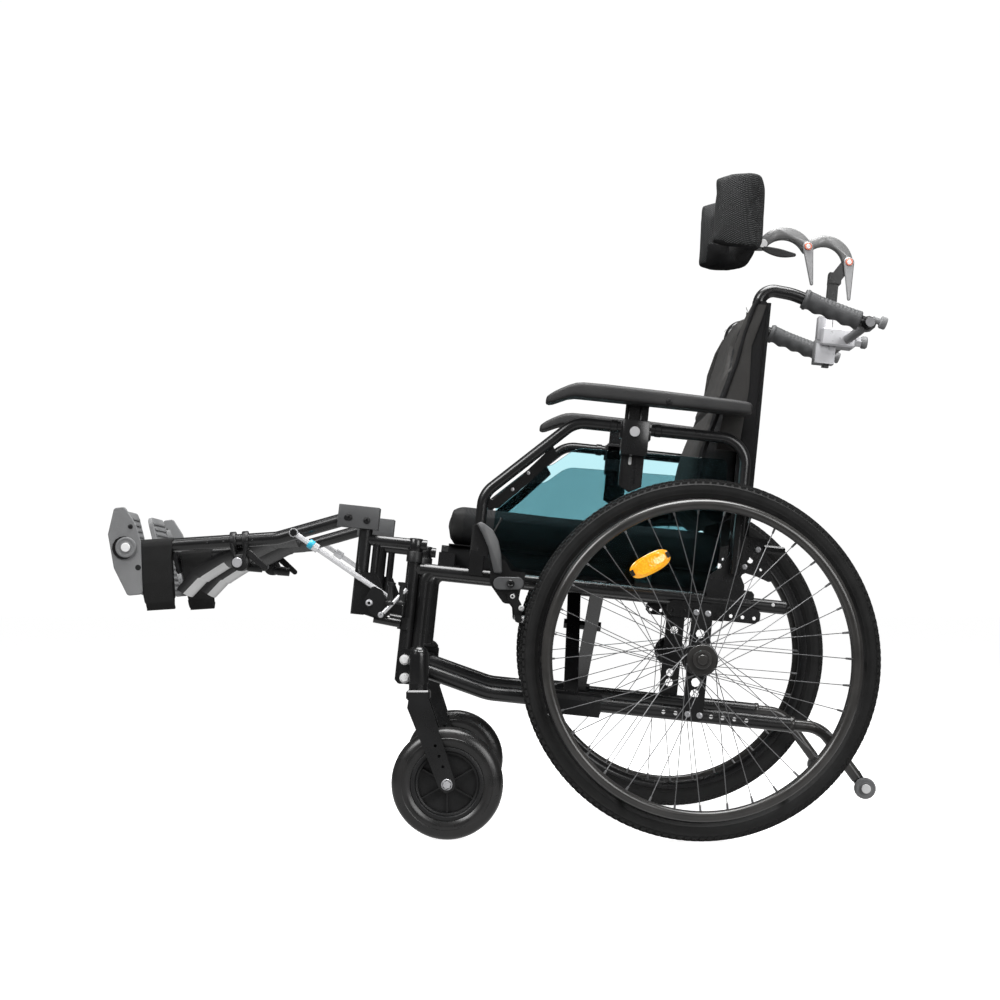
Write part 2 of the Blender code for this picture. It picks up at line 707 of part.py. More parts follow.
def caster_rim():
    centre = (CASTER_X, CASTER_Y, CASTER_R)
    half = CASTER_RIM_WIDTH / 2
    inner = 0.0520
    band = [(CASTER_RIM_R, -half), (CASTER_RIM_R, half), (inner + 0.003, half), (inner, 0.006),
            (inner, -0.006), (inner + 0.003, -half)]
    band = wheel_ring(band, centre, CASTER_SIDES)
    hub_half = FORK_INSIDE - GAP
    bore = hole(CASTER_AXLE_R)
    hub = lathe([(bore, -hub_half), (0.010, -hub_half), (CASTER_HUB_R, -0.015), (CASTER_HUB_R, 0.015),
                 (0.010, hub_half), (bore, hub_half)], centre, (1, 0, 0), 10, True)
    spokes = []
    for i in range(6):
        angle = 2 * math.pi * i / 6
        out = Vector((0, math.sin(angle), math.cos(angle)))
        flat = Vector((0, math.cos(angle), -math.sin(angle)))
        rings = []
        for reach, half_wide in ((CASTER_HUB_R - 0.003, 0.0060), (inner + 0.002, 0.0085)):
            middle = Vector(centre) + out * reach
            corners = ((-0.010, -1), (0.010, -1), (0.010, 1), (-0.010, 1))
            rings.append([middle + Vector((x, 0, 0)) + flat * (half_wide * sign) for x, sign in corners])
        spokes.append(loft(rings))
    return combine(band, [hub] + spokes)


def caster_tyre():
    half = CASTER_WIDTH / 2
    inner = CASTER_RIM_R + GAP
    outer = corner_radius(CASTER_R, CASTER_SIDES)
    profile = [(inner, -0.016), (inner + 0.008, -half), (outer - 0.010, -half), (outer, -0.009),
               (outer, 0.009), (outer - 0.010, half), (inner + 0.008, half), (inner, 0.016)]
    return wheel_ring(profile, (CASTER_X, CASTER_Y, CASTER_R), CASTER_SIDES)


# Brake

def brake_lever():
    low = BRAKE_X
    high = BRAKE_X + BRAKE_PLATE
    pivot = Vector(LEVER_PIVOT)
    handle = capsule(pivot, pivot + Vector((-0.023, 0.061)), 0.0100, 0.0085)
    tail = capsule(pivot, pivot + Vector((0.022, -0.023)), 0.0095, 0.0060)
    lever = combine(plate(handle, low, high), [plate(tail, low, high)])
    ends = (pivot + Vector((-0.017, 0.043)), pivot + Vector((-0.025, 0.067)))
    grip = plate(capsule(ends[0], ends[1], 0.0095, 0.0090), low + 0.001, high + 0.005)
    return cut(combine(lever, [grip]), [across(LEVER_PIVOT, low - 0.01, high + 0.01, hole(BRAKE_PIN_R))])


def shoe_spot():
    """The shoe's middle, where it presses on the tyre."""
    reach = corner_radius(WHEEL_R, WHEEL_SIDES) + SHOE_R + GAP
    along = -math.sqrt(reach * reach - SHOE_DOWN * SHOE_DOWN)
    wheel = to_frame(WHEEL_Y, WHEEL_R)
    return (wheel[0] + along, wheel[1] + SHOE_DOWN)


def brake_arm():
    low = BRAKE_X
    high = BRAKE_X + BRAKE_PLATE
    shoe = shoe_spot()
    knee = (ARM_PIVOT[0] + 0.012, ARM_PIVOT[1] - 0.016)
    arm = plate(capsule(ARM_PIVOT, knee, 0.0085, 0.0070), low, high)
    reach = plate(capsule(knee, shoe, 0.0068, SHOE_R - 0.0005), low, high)
    roller = across(shoe, low + 0.001, WHEEL_X + 0.020, SHOE_R)
    arm = combine(arm, [reach, roller])
    return cut(arm, [across(ARM_PIVOT, low - 0.01, high + 0.01, hole(BRAKE_PIN_R))])


# Armrest

def armrest_frame():
    top = ARMREST_TOP
    corners = ((ARMREST_FRONT, SOCKET_FLOOR + GAP), (ARMREST_FRONT, 0.580), (0.056, top),
               (REAR_PIVOT[0] - 0.001, top), (REAR_PIVOT[0] - 0.001, REAR_PIVOT[1] - 0.009))
    hoop = bent_tube(ARMREST_X, corners, ARMREST_R, [0, 0.045, 0.050, 0.045, 0])
    clamp = block((FRAME_X + 0.004, 0.137, 0.672), (ARMREST_X + 0.014, 0.183, 0.733), 0.002)
    button = across((POST_BAR_MIDDLE - 0.002, 0.712), ARMREST_X + 0.013, ARMREST_X + 0.0165, 0.0065)
    tabs = []
    for along in (0.100, 0.280):
        low = GUARD_X + GUARD + GAP
        tabs.append(block((low, along - 0.009, 0.660), (low + 0.004, along + 0.009, top)))
        tabs.append(block((low, along - 0.009, top - 0.008), (ARMREST_X, along + 0.009, top)))
    frame = combine(hoop, [clamp, button] + tabs)
    half = POST_BAR_WIDTH / 2 + GAP
    slot = block((POST_BAR_X - GAP, POST_BAR_MIDDLE - half, 0.660),
                 (POST_BAR_X + POST_BAR + GAP, POST_BAR_MIDDLE + half, 0.745))
    eye = across(REAR_PIVOT, ARMREST_X - 0.02, ARMREST_X + 0.02, hole(PIVOT_PIN_R))
    return cut(frame, [slot, eye])


def armrest_post():
    half = POST_BAR_WIDTH / 2
    left = POST_BAR_MIDDLE - half
    right = POST_BAR_MIDDLE + half
    top = PAD_LOW - GAP
    tip = POST_BAR_LOW
    outline = ((left, tip + 0.011), (POST_BAR_MIDDLE, tip), (right, tip + 0.011), (right, top), (left, top))
    bar = plate(outline, POST_BAR_X, POST_BAR_X + POST_BAR)
    top = block((POST_BAR_X - 0.002, 0.125, PAD_LOW - 0.005), (ARMREST_X + 0.022, 0.205, top))
    spots = [(POST_BAR_MIDDLE, tip + 0.023 + 0.0125 * i) for i in range(4)]
    return drill(combine(bar, [top]), spots, 0.0034, POST_BAR_X - 0.01, POST_BAR_X + 0.02)


def armrest_pad():
    """A moulded pad whose nose turns down."""
    nose = ((0.002, 0.745, 0.751), (0.012, 0.745, 0.763), (0.038, 0.756, 0.778))
    stations = nose + ((0.063, PAD_LOW, PAD_TOP), (0.330, PAD_LOW, PAD_TOP - 0.003),
                       (0.346, PAD_LOW, PAD_TOP - 0.004), (0.350, PAD_LOW + 0.003, PAD_TOP - 0.008))
    middle = 0.256
    rings = []
    for along, low, high in stations:
        half = 0.028 if 0.01 < along < 0.348 else 0.0235
        points = section(half, (high - low) / 2, 5, 12)
        rings.append([(middle + x, along, (low + high) / 2 + up) for x, up in points])
    return loft(rings)


def side_guard():
    top = ARMREST_TOP
    outline = ((-0.065, top - 0.136), (-0.065, 0.500), (-0.020, 0.460), (0.315, 0.456), (0.325, 0.470),
               (0.325, top - 0.035), (0.063, top - 0.042), (0.0215, top - 0.078), (-0.008, top - 0.081))
    radii = (0.012, 0.030, 0.020, 0.006, 0.006, 0.012, 0.045, 0.030, 0.040)
    return plate(rounded(outline, radii, 4, True), GUARD_X, GUARD_X + GUARD)


# Legrest

def hanger_clevis():
    outline = ((-0.332, 0.500), (-0.263, 0.500), (-0.263, 0.537), (-0.332, 0.537))
    head = plate(rounded(outline, 0.005, 1, True), FRAME_X - CLEVIS_OUT, FRAME_X + CLEVIS_OUT)
    slot = block((FRAME_X - CLEVIS_IN, -0.345, 0.490), (FRAME_X + CLEVIS_IN, -0.292, 0.533))
    pin = across(LEG_PIVOT, FRAME_X - CLEVIS_OUT - 0.001, FRAME_X + CLEVIS_OUT + 0.001, LEG_PIVOT_R)
    return combine(cut(head, [slot]), [pin])


def hanger_lock():
    """Two plates that hold the strut rod between them, with the chrome release lever."""
    outline = ((-0.2591, 0.4045), (-0.2408, 0.3971), (-0.2264, 0.3588), (-0.2370, 0.3459),
               (-0.2591, 0.3571), (-0.2717, 0.3783))
    inner = ((-0.2850, 0.4260), (-0.2560, 0.4260), (-0.2408, 0.3971), (-0.2264, 0.3588), (-0.2370, 0.3459),
             (-0.2850, 0.3571))
    outer_low = STRUT_X + 0.007
    inner = plate(rounded(inner, 0.004, 1, True), LOCK_X, LOCK_X + 0.005)
    outer = plate(rounded(outline, 0.004, 1, True), outer_low, outer_low + 0.004)
    pieces = [outer]
    for spot in ((-0.2615, 0.3720), (-0.2400, 0.3560)):
        pieces.append(across(spot, LOCK_X + 0.001, outer_low + 0.006, 0.005, 6))
    lever_x = outer_low + 0.006
    pieces.append(tube([(lever_x, -0.236, 0.360), (lever_x, -0.202, 0.403)], 0.003, 6))
    return combine(inner, pieces)


def hanger():
    tall = upright(FRAME_X, HANGER, HANGER_LOW, 0.505, TUBE_R)
    bar = bent_tube(FRAME_X, ((HANGER, HANGER_BAR_UP), (POST, HANGER_BAR_UP)), HANGER_BAR_R, 0)
    pin = upright(FRAME_X, POST, SEAT_UP + 0.002, HANGER_BAR_UP, HANGER_PIN_R)
    cap = upright(FRAME_X, POST, POST_TOP + GAP, HANGER_BAR_UP + HANGER_BAR_R + 0.001, 0.0105)
    thin = upright(FRAME_X, -0.262, 0.396, HANGER_BAR_UP, 0.005, 6)
    low_bar = bent_tube(LOCK_X - 0.0008, ((-0.253, 0.3485), (POST - 0.012, 0.3445)), 0.0065, 0)
    hook = lathe([(0.017, 0.335), (0.017, 0.355)], (FRAME_X, POST, 0), (0, 0, 1), SIDES)
    carrier = combine(tall, [bar, pin, cap, thin, low_bar, hook])
    throat = upright(FRAME_X, POST, 0.325, 0.365, hole(TUBE_R))
    mouth = block((FRAME_X - 0.03, POST + 0.004, 0.325), (FRAME_X + 0.03, POST + 0.03, 0.365))
    carrier = cut(carrier, [throat, mouth])
    return combine(carrier, [hanger_clevis(), hanger_lock()])


FOOT = Matrix.Translation((FOOT_X, FOOT_HINGE[0], FOOT_HINGE[1])) @ Matrix.Rotation(FOOT_SLOPE, 4, "X")


def leg_tube():
    path = (LEG_PIVOT,) + LEG_BENDS
    leg = bent_tube(FRAME_X, path, LEG_R, 0.05)
    half = CLEVIS_IN - GAP
    eye = across(LEG_PIVOT, FRAME_X - half, FRAME_X + half, LEG_EYE_R, 12)
    boss_end = STRUT_X - STRUT_R - GAP
    boss = across(STRUT_PIVOT, FRAME_X, boss_end, 0.0065, 8)
    strut_pin = across(STRUT_PIVOT, FRAME_X, STRUT_X + STRUT_R + GAP, STRUT_PIN_R)
    head = across(STRUT_PIVOT, STRUT_X + STRUT_R + GAP, STRUT_X + STRUT_R + 0.0025, 0.0065, 6)
    outline = ((-0.716, 0.489), (-0.721, 0.444), (-0.704, 0.388), (-0.675, 0.344), (-0.651, 0.349),
               (-0.667, 0.432), (-0.679, 0.462), (-0.703, 0.492))
    low = FRAME_X + LEG_R + 0.0005
    side = plate(rounded(outline, 0.006, 1, True), low, low + 0.005)
    side = drill(side, [(-0.6835, 0.374), (-0.6775, 0.362)], 0.0045, low - 0.01, low + 0.01)
    disc = across((-0.691, 0.424), low + 0.004, low + 0.0085, 0.0198, 14)
    hub = block((-0.006, -0.030, -0.020), (low + 0.001 - FOOT_X, 0.030, 0.010))
    rod = tube([(0, -0.058, 0), (0, 0.058, 0)], FOOT_ROD_R)
    leg = combine(leg, [eye, boss, strut_pin, head, side, disc, moved(hub, FOOT), moved(rod, FOOT)])
    return cut(leg, [across(LEG_PIVOT, FRAME_X - 0.03, FRAME_X + 0.03, hole(LEG_PIVOT_R))])


def strut_rod():
    ahead = Vector((0, math.cos(STRUT_SLOPE), math.sin(STRUT_SLOPE)))
    start = Vector((STRUT_X, STRUT_PIVOT[0], STRUT_PIVOT[1]))
    rod = tube([start, start + ahead * STRUT_LENGTH], STRUT_R)
    collar = tube([start + ahead * 0.034, start + ahead * 0.050], 0.0075)
    eye = across(STRUT_PIVOT, STRUT_X - STRUT_R, STRUT_X + STRUT_R, 0.0080, 10)
    rod = combine(rod, [collar, eye])
    return cut(rod, [across(STRUT_PIVOT, STRUT_X - 0.02, STRUT_X + 0.02, hole(STRUT_PIN_R))])


def leg_axis(along):
    """The height of the leg tube's long straight run at a place along it."""
    first, last = LEG_BENDS[0], LEG_BENDS[1]
    return first[1] + (last[1] - first[1]) * (along - first[0]) / (last[0] - first[0])


def calf_pad():
    axis_up = leg_axis(CALF_MIDDLE)
    clamp = block((FRAME_X - 0.0155, CALF_MIDDLE - 0.0175, axis_up - 0.055),
                  (FRAME_X + 0.0155, CALF_MIDDLE + 0.0175, axis_up + 0.0145), 0.003)
    arm = across((CALF_MIDDLE - 0.004, axis_up - 0.036), 0.150, FRAME_X, 0.006)
    knob = tube([(FRAME_X - 0.0150, CALF_MIDDLE + 0.012, axis_up - 0.042),
                 (FRAME_X - 0.0150, CALF_MIDDLE + 0.042, axis_up - 0.042)], 0.0085, 8)
    profile = ((-0.599, 0.362), (-0.574, 0.398), (-0.535, 0.429), (-0.496, 0.446), (-0.457, 0.471),
               (-0.407, 0.478))
    rings = []
    for x in (0.065, 0.071, 0.110, 0.160, 0.199, 0.205):
        sag = 0.016 * (1 - ((x - 0.135) / 0.070) ** 2)
        thin = 0.0035 if x in (0.065, 0.205) else 0.006
        front = []
        rear = []
        for i, (along, up) in enumerate(profile):
            before = Vector(profile[max(i - 1, 0)])
            after = Vector(profile[min(i + 1, len(profile) - 1)])
            run = (after - before).normalized()
            normal = Vector((-run.y, run.x))
            middle = Vector((along, up)) - normal * sag
            front.append(middle + normal * thin)
            rear.append(middle - normal * thin)
        rings.append([(x, point.x, point.y) for point in front + rear[::-1]])
    pad = loft(rings)
    strap = block((0.118, CALF_MIDDLE - 0.026, axis_up - 0.046),
                  (0.152, CALF_MIDDLE + 0.006, axis_up - 0.022))
    first, last = LEG_BENDS[0], LEG_BENDS[1]
    ahead = Vector((0, last[0] - first[0], last[1] - first[1])).normalized()
    middle = Vector((FRAME_X, CALF_MIDDLE, axis_up))
    bore = running_bore([middle - ahead * 0.06, middle + ahead * 0.06], LEG_R)
    return cut(combine(clamp, [arm, knob, strap, pad]), [bore])


def footplate():
    """A ribbed plate that folds up about the rod at the leg's foot; x runs in from the hinge."""
    half = FOOTPLATE_HALF
    corners = ((-0.012, -half), (-FOOTPLATE_REACH, -half), (-FOOTPLATE_REACH, half), (-0.012, half))
    outline = rounded(corners, 0.016, 3, True)
    rings = []
    for up in (-FOOTPLATE / 2, FOOTPLATE / 2):
        rings.append([(point.x, point.y, up) for point in outline])
    body = loft(rings)
    pieces = []
    for i in range(4):
        x = -0.035 - 0.030 * i
        pieces.append(block((x - 0.003, -half + 0.014, 0.003), (x + 0.003, half - 0.014, 0.0065)))
    for sign in (-1, 1):
        faces = sorted((sign * 0.033, sign * 0.055))
        pieces.append(tube([(0, faces[0], 0), (0, faces[1], 0)], 0.0105))
        pieces.append(block((-0.022, faces[0], -0.004), (-0.002, faces[1], 0.004)))
    body = combine(body, pieces)
    bores = [tube([(0, sign * 0.032, 0), (0, sign * 0.080, 0)], hole(FOOT_ROD_R)) for sign in (-1, 1)]
    return moved(cut(body, bores), FOOT)


# Back

def cane_path():
    path = [(CANE_X, REAR_PIVOT[0], CANE_LOW)]
    for along, up in HANDLE_BENDS + (HANDLE_END,):
        path.append((CANE_X, along, up))
    return rounded(path, [0, 0.035, 0.10, 0], 3)


def back_cane():
    cane = tube(cane_path(), CANE_R)
    eye = across(HANDLE_END, CANE_X - CANE_R, CANE_X + CANE_R, 0.0130, 12)
    bore = across(HANDLE_END, CANE_X - 0.03, CANE_X + 0.03, hole(CROSSBAR_R))
    pivot = across(REAR_PIVOT, CANE_X - 0.02, CANE_X + 0.02, hole(PIVOT_PIN_R))
    return cut(combine(cane, [eye]), [bore, pivot])


def push_grip():
    start = Vector((CANE_X,) + HANDLE_BENDS[-1])
    ahead = (Vector((CANE_X,) + HANDLE_END) - start).normalized()
    bore = hole(CANE_R)
    profile = [(bore, GRIP_START), (GRIP_R - 0.002, GRIP_START), (GRIP_R, GRIP_START + 0.004)]
    ribs = 4
    for i in range(ribs):
        place = GRIP_START + 0.012 + (GRIP_LENGTH - 0.024) * (i + 0.5) / ribs
        profile.append((GRIP_R - 0.0005, place - 0.0060))
        profile.append((GRIP_R - 0.0028, place))
    profile += [(GRIP_R, GRIP_START + GRIP_LENGTH - 0.004), (GRIP_R - 0.003, GRIP_START + GRIP_LENGTH),
                (bore, GRIP_START + GRIP_LENGTH)]
    return lathe(profile, start, ahead, 10, True)


def cushion_front(up):
    """How far forward the back cushion reaches at a height, between points read off its side."""
    places = ((0.585, 0.266), (0.620, 0.262), (0.700, 0.2675), (0.806, 0.284), (0.842, 0.287),
              (0.913, 0.310), (0.965, 0.338), (0.977, 0.352))
    for (low, start), (high, end) in zip(places, places[1:]):
        if up <= high:
            return start + (end - start) * (up - low) / (high - low)
    return places[-1][1]


def back_cushion():
    """A full cushion that wraps the canes, with its sides drawn in and a channel across it."""
    low, high = 0.585, 0.977
    levels = [low, low + 0.012, low + 0.045]
    levels += [low + (high - low) * share for share in (0.30, 0.46, 0.50, 0.54, 0.70, 0.88)]
    levels += [high - 0.012, high]
    rings = []
    for x in (-1.0, -0.98, -0.90, -0.65, 0.0, 0.65, 0.90, 0.98, 1.0):
        full = (1 - abs(x) ** 7) ** 0.5
        front = []
        for up in levels:
            reach = CUSHION_BACK - cushion_front(up)
            share = 0.45 + 0.55 * full
            dip = 0.010 * full * math.exp(-((up - (low + high) / 2) / 0.012) ** 2)
            edge = min(1.0, (up - low) / 0.03 + 0.5)
            depth = max(reach * share * edge - dip, 0.006)
            waist = 0.004 * math.sin(math.pi * (up - low) / (high - low)) * abs(x)
            front.append((x * (BACK_HALF - waist), CUSHION_BACK - depth, up))
        rear = [(point[0], CUSHION_BACK, point[2]) for point in (front[-1], front[0])]
        rings.append(front + rear)
    cushion = loft(rings)
    channels = []
    path = cane_path()
    for sign in (-1, 1):
        channels.append(tube([(sign * point[0], point[1], point[2]) for point in path], CANE_R + GAP))
    return cut(cushion, channels)


def back_sling():
    """The rear panel, which bulges back between the canes."""
    rings = []
    half = BACK_HALF - 0.0055
    for i in range(7):
        x = -1 + i / 3
        bulge = 0.0085 * (1 - x ** 4)
        front = []
        rear = []
        for j in range(4):
            up = 0.570 + 0.395 * j / 3
            out = bulge * math.sin(math.pi * (0.15 + 0.7 * j / 3))
            front.append((half * x, CUSHION_BACK + GAP, up))
            rear.append((half * x, CUSHION_BACK + GAP + 0.0060 + out, up))
        rings.append(front + rear[::-1])
    return loft(rings)


# Seat

def seat_sling():
    low = SEAT_RAIL_UP + SEAT_RAIL_R + GAP
    return block((-SLING_HALF, SEAT_FRONT, low), (SLING_HALF, SEAT_RAIL_REAR, low + SLING), 0.001)


def seat_cushion():
    """A crowned cushion whose front and sides are drawn in between its corners."""
    low = SEAT_RAIL_UP + SEAT_RAIL_R + GAP + SLING + GAP
    count = 20
    rings = []
    stations = 11
    for i in range(stations):
        share = i / (stations - 1)
        along = SEAT_FRONT + (SEAT_REAR - SEAT_FRONT) * (1 - math.cos(math.pi * share)) / 2
        end = 1 - abs(2 * share - 1) ** 9
        wide = SEAT_HALF - 0.003 * math.sin(math.pi * share) - 0.007 * (1 - end)
        thick = SEAT_THICK * (0.72 + 0.28 * end) + SEAT_CROWN * math.sin(math.pi * share)
        points = []
        for x, up in section(wide, thick / 2, 6, count):
            crown = 0.0
            if up > 0:
                crown = -SEAT_CROWN * 0.8 * abs(x / SEAT_HALF) ** 3
            points.append((x, along, low + thick / 2 + up + crown))
        flat = [(x, a, max(up, low)) for x, a, up in points]
        rings.append(flat)
    return loft(rings)


# Headrest

def post_hole(low, high):
    half = HEAD_POST_SIZE / 2 + GAP
    return block((-half, HEAD_POST - half, low), (half, HEAD_POST + half, high))


def headrest_crossbar():
    bar = across(HANDLE_END, -CROSSBAR_HALF, CROSSBAR_HALF, CROSSBAR_R)
    clamp = block((-0.025, HEAD_POST - 0.015, 0.932), (0.025, HANDLE_END[0] + 0.015, 0.965), 0.003)
    guide = block((-0.014, HEAD_POST - 0.022, 0.899), (0.014, HEAD_POST + 0.014, 0.935))
    wheel = tube([(0, HANDLE_END[0], HANDLE_END[1]), (0, HANDLE_END[0] + 0.030, HANDLE_END[1])], 0.009, 8)
    body = combine(bar, [clamp, guide, wheel])
    return cut(body, [post_hole(HEAD_POST_LOW - 0.013, HEAD_POST_LOW + 0.087)])


def headrest_post():
    half = HEAD_POST_SIZE / 2
    bar = block((-half, HEAD_POST - half, HEAD_POST_LOW), (half, HEAD_POST + half, 1.062))
    sleeve = block((-0.010, HEAD_POST - 0.009, 1.016), (0.010, HEAD_POST + 0.009, 1.070))
    ears = []
    low, high = HEAD_ARM + GAP, HEAD_ARM + GAP + HEAD_EAR
    first = HEAD_PIVOTS[0]
    for sign in (-1, 1):
        faces = sorted((sign * low, sign * high))
        ears.append(plate(capsule((HEAD_POST + 0.002, 1.058), first, 0.010, 0.0105), faces[0], faces[1]))
    foot = block((-high, HEAD_POST - 0.009, 1.049), (high, HEAD_POST + 0.013, 1.068))
    pin = across(first, -high, high, HEAD_PIN_R)
    return combine(bar, [sleeve, foot, pin] + ears)


def headrest_arm_rear():
    first, second = HEAD_PIVOTS[0], HEAD_PIVOTS[1]
    arm = plate(bow(first, HEAD_CROWNS[0], second, 0.0085), -HEAD_ARM, HEAD_ARM)
    arm = cut(arm, [across(first, -0.03, 0.03, hole(HEAD_PIN_R))])
    return cut(arm, [across(second, -0.03, 0.03, hole(HEAD_PIN_R))])


def headrest_arm_front():
    second, third = HEAD_PIVOTS[1], HEAD_PIVOTS[2]
    low, high = HEAD_ARM + GAP, HEAD_ARM + GAP + HEAD_EAR
    pieces = []
    for sign in (-1, 1):
        faces = sorted((sign * low, sign * high))
        pieces.append(plate(bow(second, HEAD_CROWNS[1], third, 0.0085), faces[0], faces[1]))
    along, up = HEAD_CROWNS[1]
    web = block((-low - 0.001, along - 0.010, up - 0.010), (low + 0.001, along + 0.012, up + 0.005))
    pins = [across(second, -high, high, HEAD_PIN_R), across(third, -high, high, HEAD_PIN_R)]
    return combine(pieces[0], [pieces[1], web] + pins)


def headrest_pad():
    """A padded U whose wings come forward beside the head, with the lug that carries it."""
    corners = [(sign * HEAD_WING, along, 0) for sign, along in
               ((1, HEAD_FRONT), (1, HEAD_BACK), (-1, HEAD_BACK), (-1, HEAD_FRONT))]
    path = rounded(corners, [0, 0.045, 0.045, 0], 4)
    path.insert(1, path[0].lerp(path[1], 0.35))
    path.insert(-1, path[-1].lerp(path[-2], 0.35))
    rings = []
    last = len(path) - 1
    for i, point in enumerate(path):
        ahead = (path[min(i + 1, last)] - path[max(i - 1, 0)]).normalized()
        side = Vector((-ahead.y, ahead.x, 0))
        forward = min(1.0, max(0.0, (HEAD_BACK - point.y) / 0.07))
        low = HEAD_LOW + 0.020 * forward
        high = HEAD_TOP + 0.010 * forward
        end = 0.80 if i in (0, last) else 1.0
        half_thick = 0.0155 * (0.62 if i in (0, last) else 1.0)
        points = []
        for wide, up in section(half_thick, (high - low) / 2 * end, 5, 12):
            points.append(point + side * wide + Vector((0, 0, (low + high) / 2 + up)))
        rings.append(points)
    pad = loft(rings)
    third = HEAD_PIVOTS[2]
    lug = plate(capsule((HEAD_BACK + 0.010, third[1]), third, 0.010, 0.0085), -HEAD_ARM, HEAD_ARM)
    return cut(combine(pad, [lug]), [across(third, -0.03, 0.03, hole(HEAD_PIN_R))])


# Anti-tipper

def anti_tipper():
    end = TIPPER_WHEEL
    path = ((TIPPER_START, LOWER_UP), (0.528, LOWER_UP), (end[0] - 0.011, end[1] + 0.0145))
    arm = bent_tube(FRAME_X, path, TIPPER_R, 0.055)
    face = TIPPER_WHEEL_X - TIPPER_WHEEL_WIDTH / 2 - GAP
    hub = across(end, FRAME_X - 0.004, face, 0.0085)
    neck = capsule((end[0] - 0.016, end[1] + 0.022), end, 0.009, 0.0085)
    neck = plate(neck, FRAME_X - 0.004, FRAME_X + 0.006)
    outer = TIPPER_WHEEL_X + TIPPER_WHEEL_WIDTH / 2 + GAP
    axle = across(end, FRAME_X, outer, TIPPER_AXLE_R)
    head = across(end, outer, outer + 0.0025, 0.0065, 6)
    return combine(arm, [neck, hub, axle, head])


def anti_tip_wheel():
    half = TIPPER_WHEEL_WIDTH / 2
    centre = (TIPPER_WHEEL_X, TIPPER_WHEEL[0], TIPPER_WHEEL[1])
    bore = hole(TIPPER_AXLE_R)
    profile = [(bore, -half), (0.010, -half), (TIPPER_WHEEL_R - 0.003, -half + 0.002),
               (TIPPER_WHEEL_R, -half + 0.005), (TIPPER_WHEEL_R, half - 0.005),
               (TIPPER_WHEEL_R - 0.003, half - 0.002), (0.010, half), (bore, half)]
    return lathe(profile, centre, (1, 0, 0), 12, True)


# Cross bars

def cross_bar(middle, bolt_front):
    """One bar of the scissor: its sleeve on the left lower tube, and the right seat rail."""
    foot = Vector((FRAME_X, 0, LOWER_UP))
    head = Vector((-SEAT_RAIL_X, 0, SEAT_RAIL_UP))
    run = (head - foot).normalized()
    side = Vector((-run.z, 0, run.x)) * (BAR_THICK / 2)
    rings = []
    for end in (foot + run * 0.004, head):
        corners = []
        for along, sign in ((-1, -1), (1, -1), (1, 1), (-1, 1)):
            corners.append(end + side * sign + Vector((0, middle + along * BAR_WIDTH / 2, 0)))
        rings.append(corners)
    bar = loft(rings)
    sleeve = tube([(FRAME_X, SLEEVE_FRONT, LOWER_UP), (FRAME_X, SLEEVE_REAR, LOWER_UP)], SLEEVE_R)
    saddle = block((FRAME_X - SLEEVE_R + 0.001, SLEEVE_FRONT + 0.002, LOWER_UP - SADDLE_DROP),
                   (FRAME_X + SLEEVE_R + 0.001, SLEEVE_REAR - 0.002, LOWER_UP + 0.004))
    ends = [(-SEAT_RAIL_X, along, SEAT_RAIL_UP) for along in (SEAT_RAIL_FRONT, SEAT_RAIL_REAR)]
    rail = tube(ends, SEAT_RAIL_R)
    share = FRAME_X / (FRAME_X + SEAT_RAIL_X)
    cross = foot.lerp(head, share)
    front = middle - BAR_WIDTH / 2
    rear = middle + BAR_WIDTH / 2
    between = BAR_RIGHT - BAR_WIDTH / 2 - (BAR_LEFT + BAR_WIDTH / 2)
    if bolt_front:
        bolt = tube([(cross.x, front - 0.005, cross.z), (cross.x, front + 0.001, cross.z)], 0.010, 6)
        ends = [(cross.x, rear - 0.001, cross.z), (cross.x, rear + between - GAP, cross.z)]
        spacer = tube(ends, CROSS_BOLT_R + 0.002)
        pieces = [bolt, spacer]
    else:
        pieces = [tube([(cross.x, rear - 0.001, cross.z), (cross.x, rear + 0.006, cross.z)], 0.010, 6)]
    bar = combine(bar, [sleeve, saddle, rail] + pieces)
    ends = [(FRAME_X, SLEEVE_FRONT - 0.01, LOWER_UP), (FRAME_X, SLEEVE_REAR + 0.01, LOWER_UP)]
    return cut(bar, [tube(ends, hole(LOWER_R))])


# Bodies, materials and the finished chair

LEVEL_SPACE = Matrix.Translation((0, SHIFT, 0))
FRAME_SPACE = LEVEL_SPACE @ Matrix.Rotation(-TILT, 4, "X")

MATERIALS = {
    "frame_paint": ((0.012, 0.012, 0.013), 0.38, 0.2),
    "chrome": ((0.80, 0.80, 0.82), 0.15, 1.0),
    "zinc": ((0.55, 0.55, 0.57), 0.35, 1.0),
    "rubber": ((0.018, 0.018, 0.019), 0.75, 0.0),
    "grey_plastic": ((0.060, 0.060, 0.064), 0.55, 0.0),
    "arm_grey": ((0.30, 0.31, 0.32), 0.40, 0.3),
    "guard": ((0.13, 0.32, 0.37), 0.12, 0.0),
    "fabric": ((0.020, 0.020, 0.022), 0.85, 0.0),
}

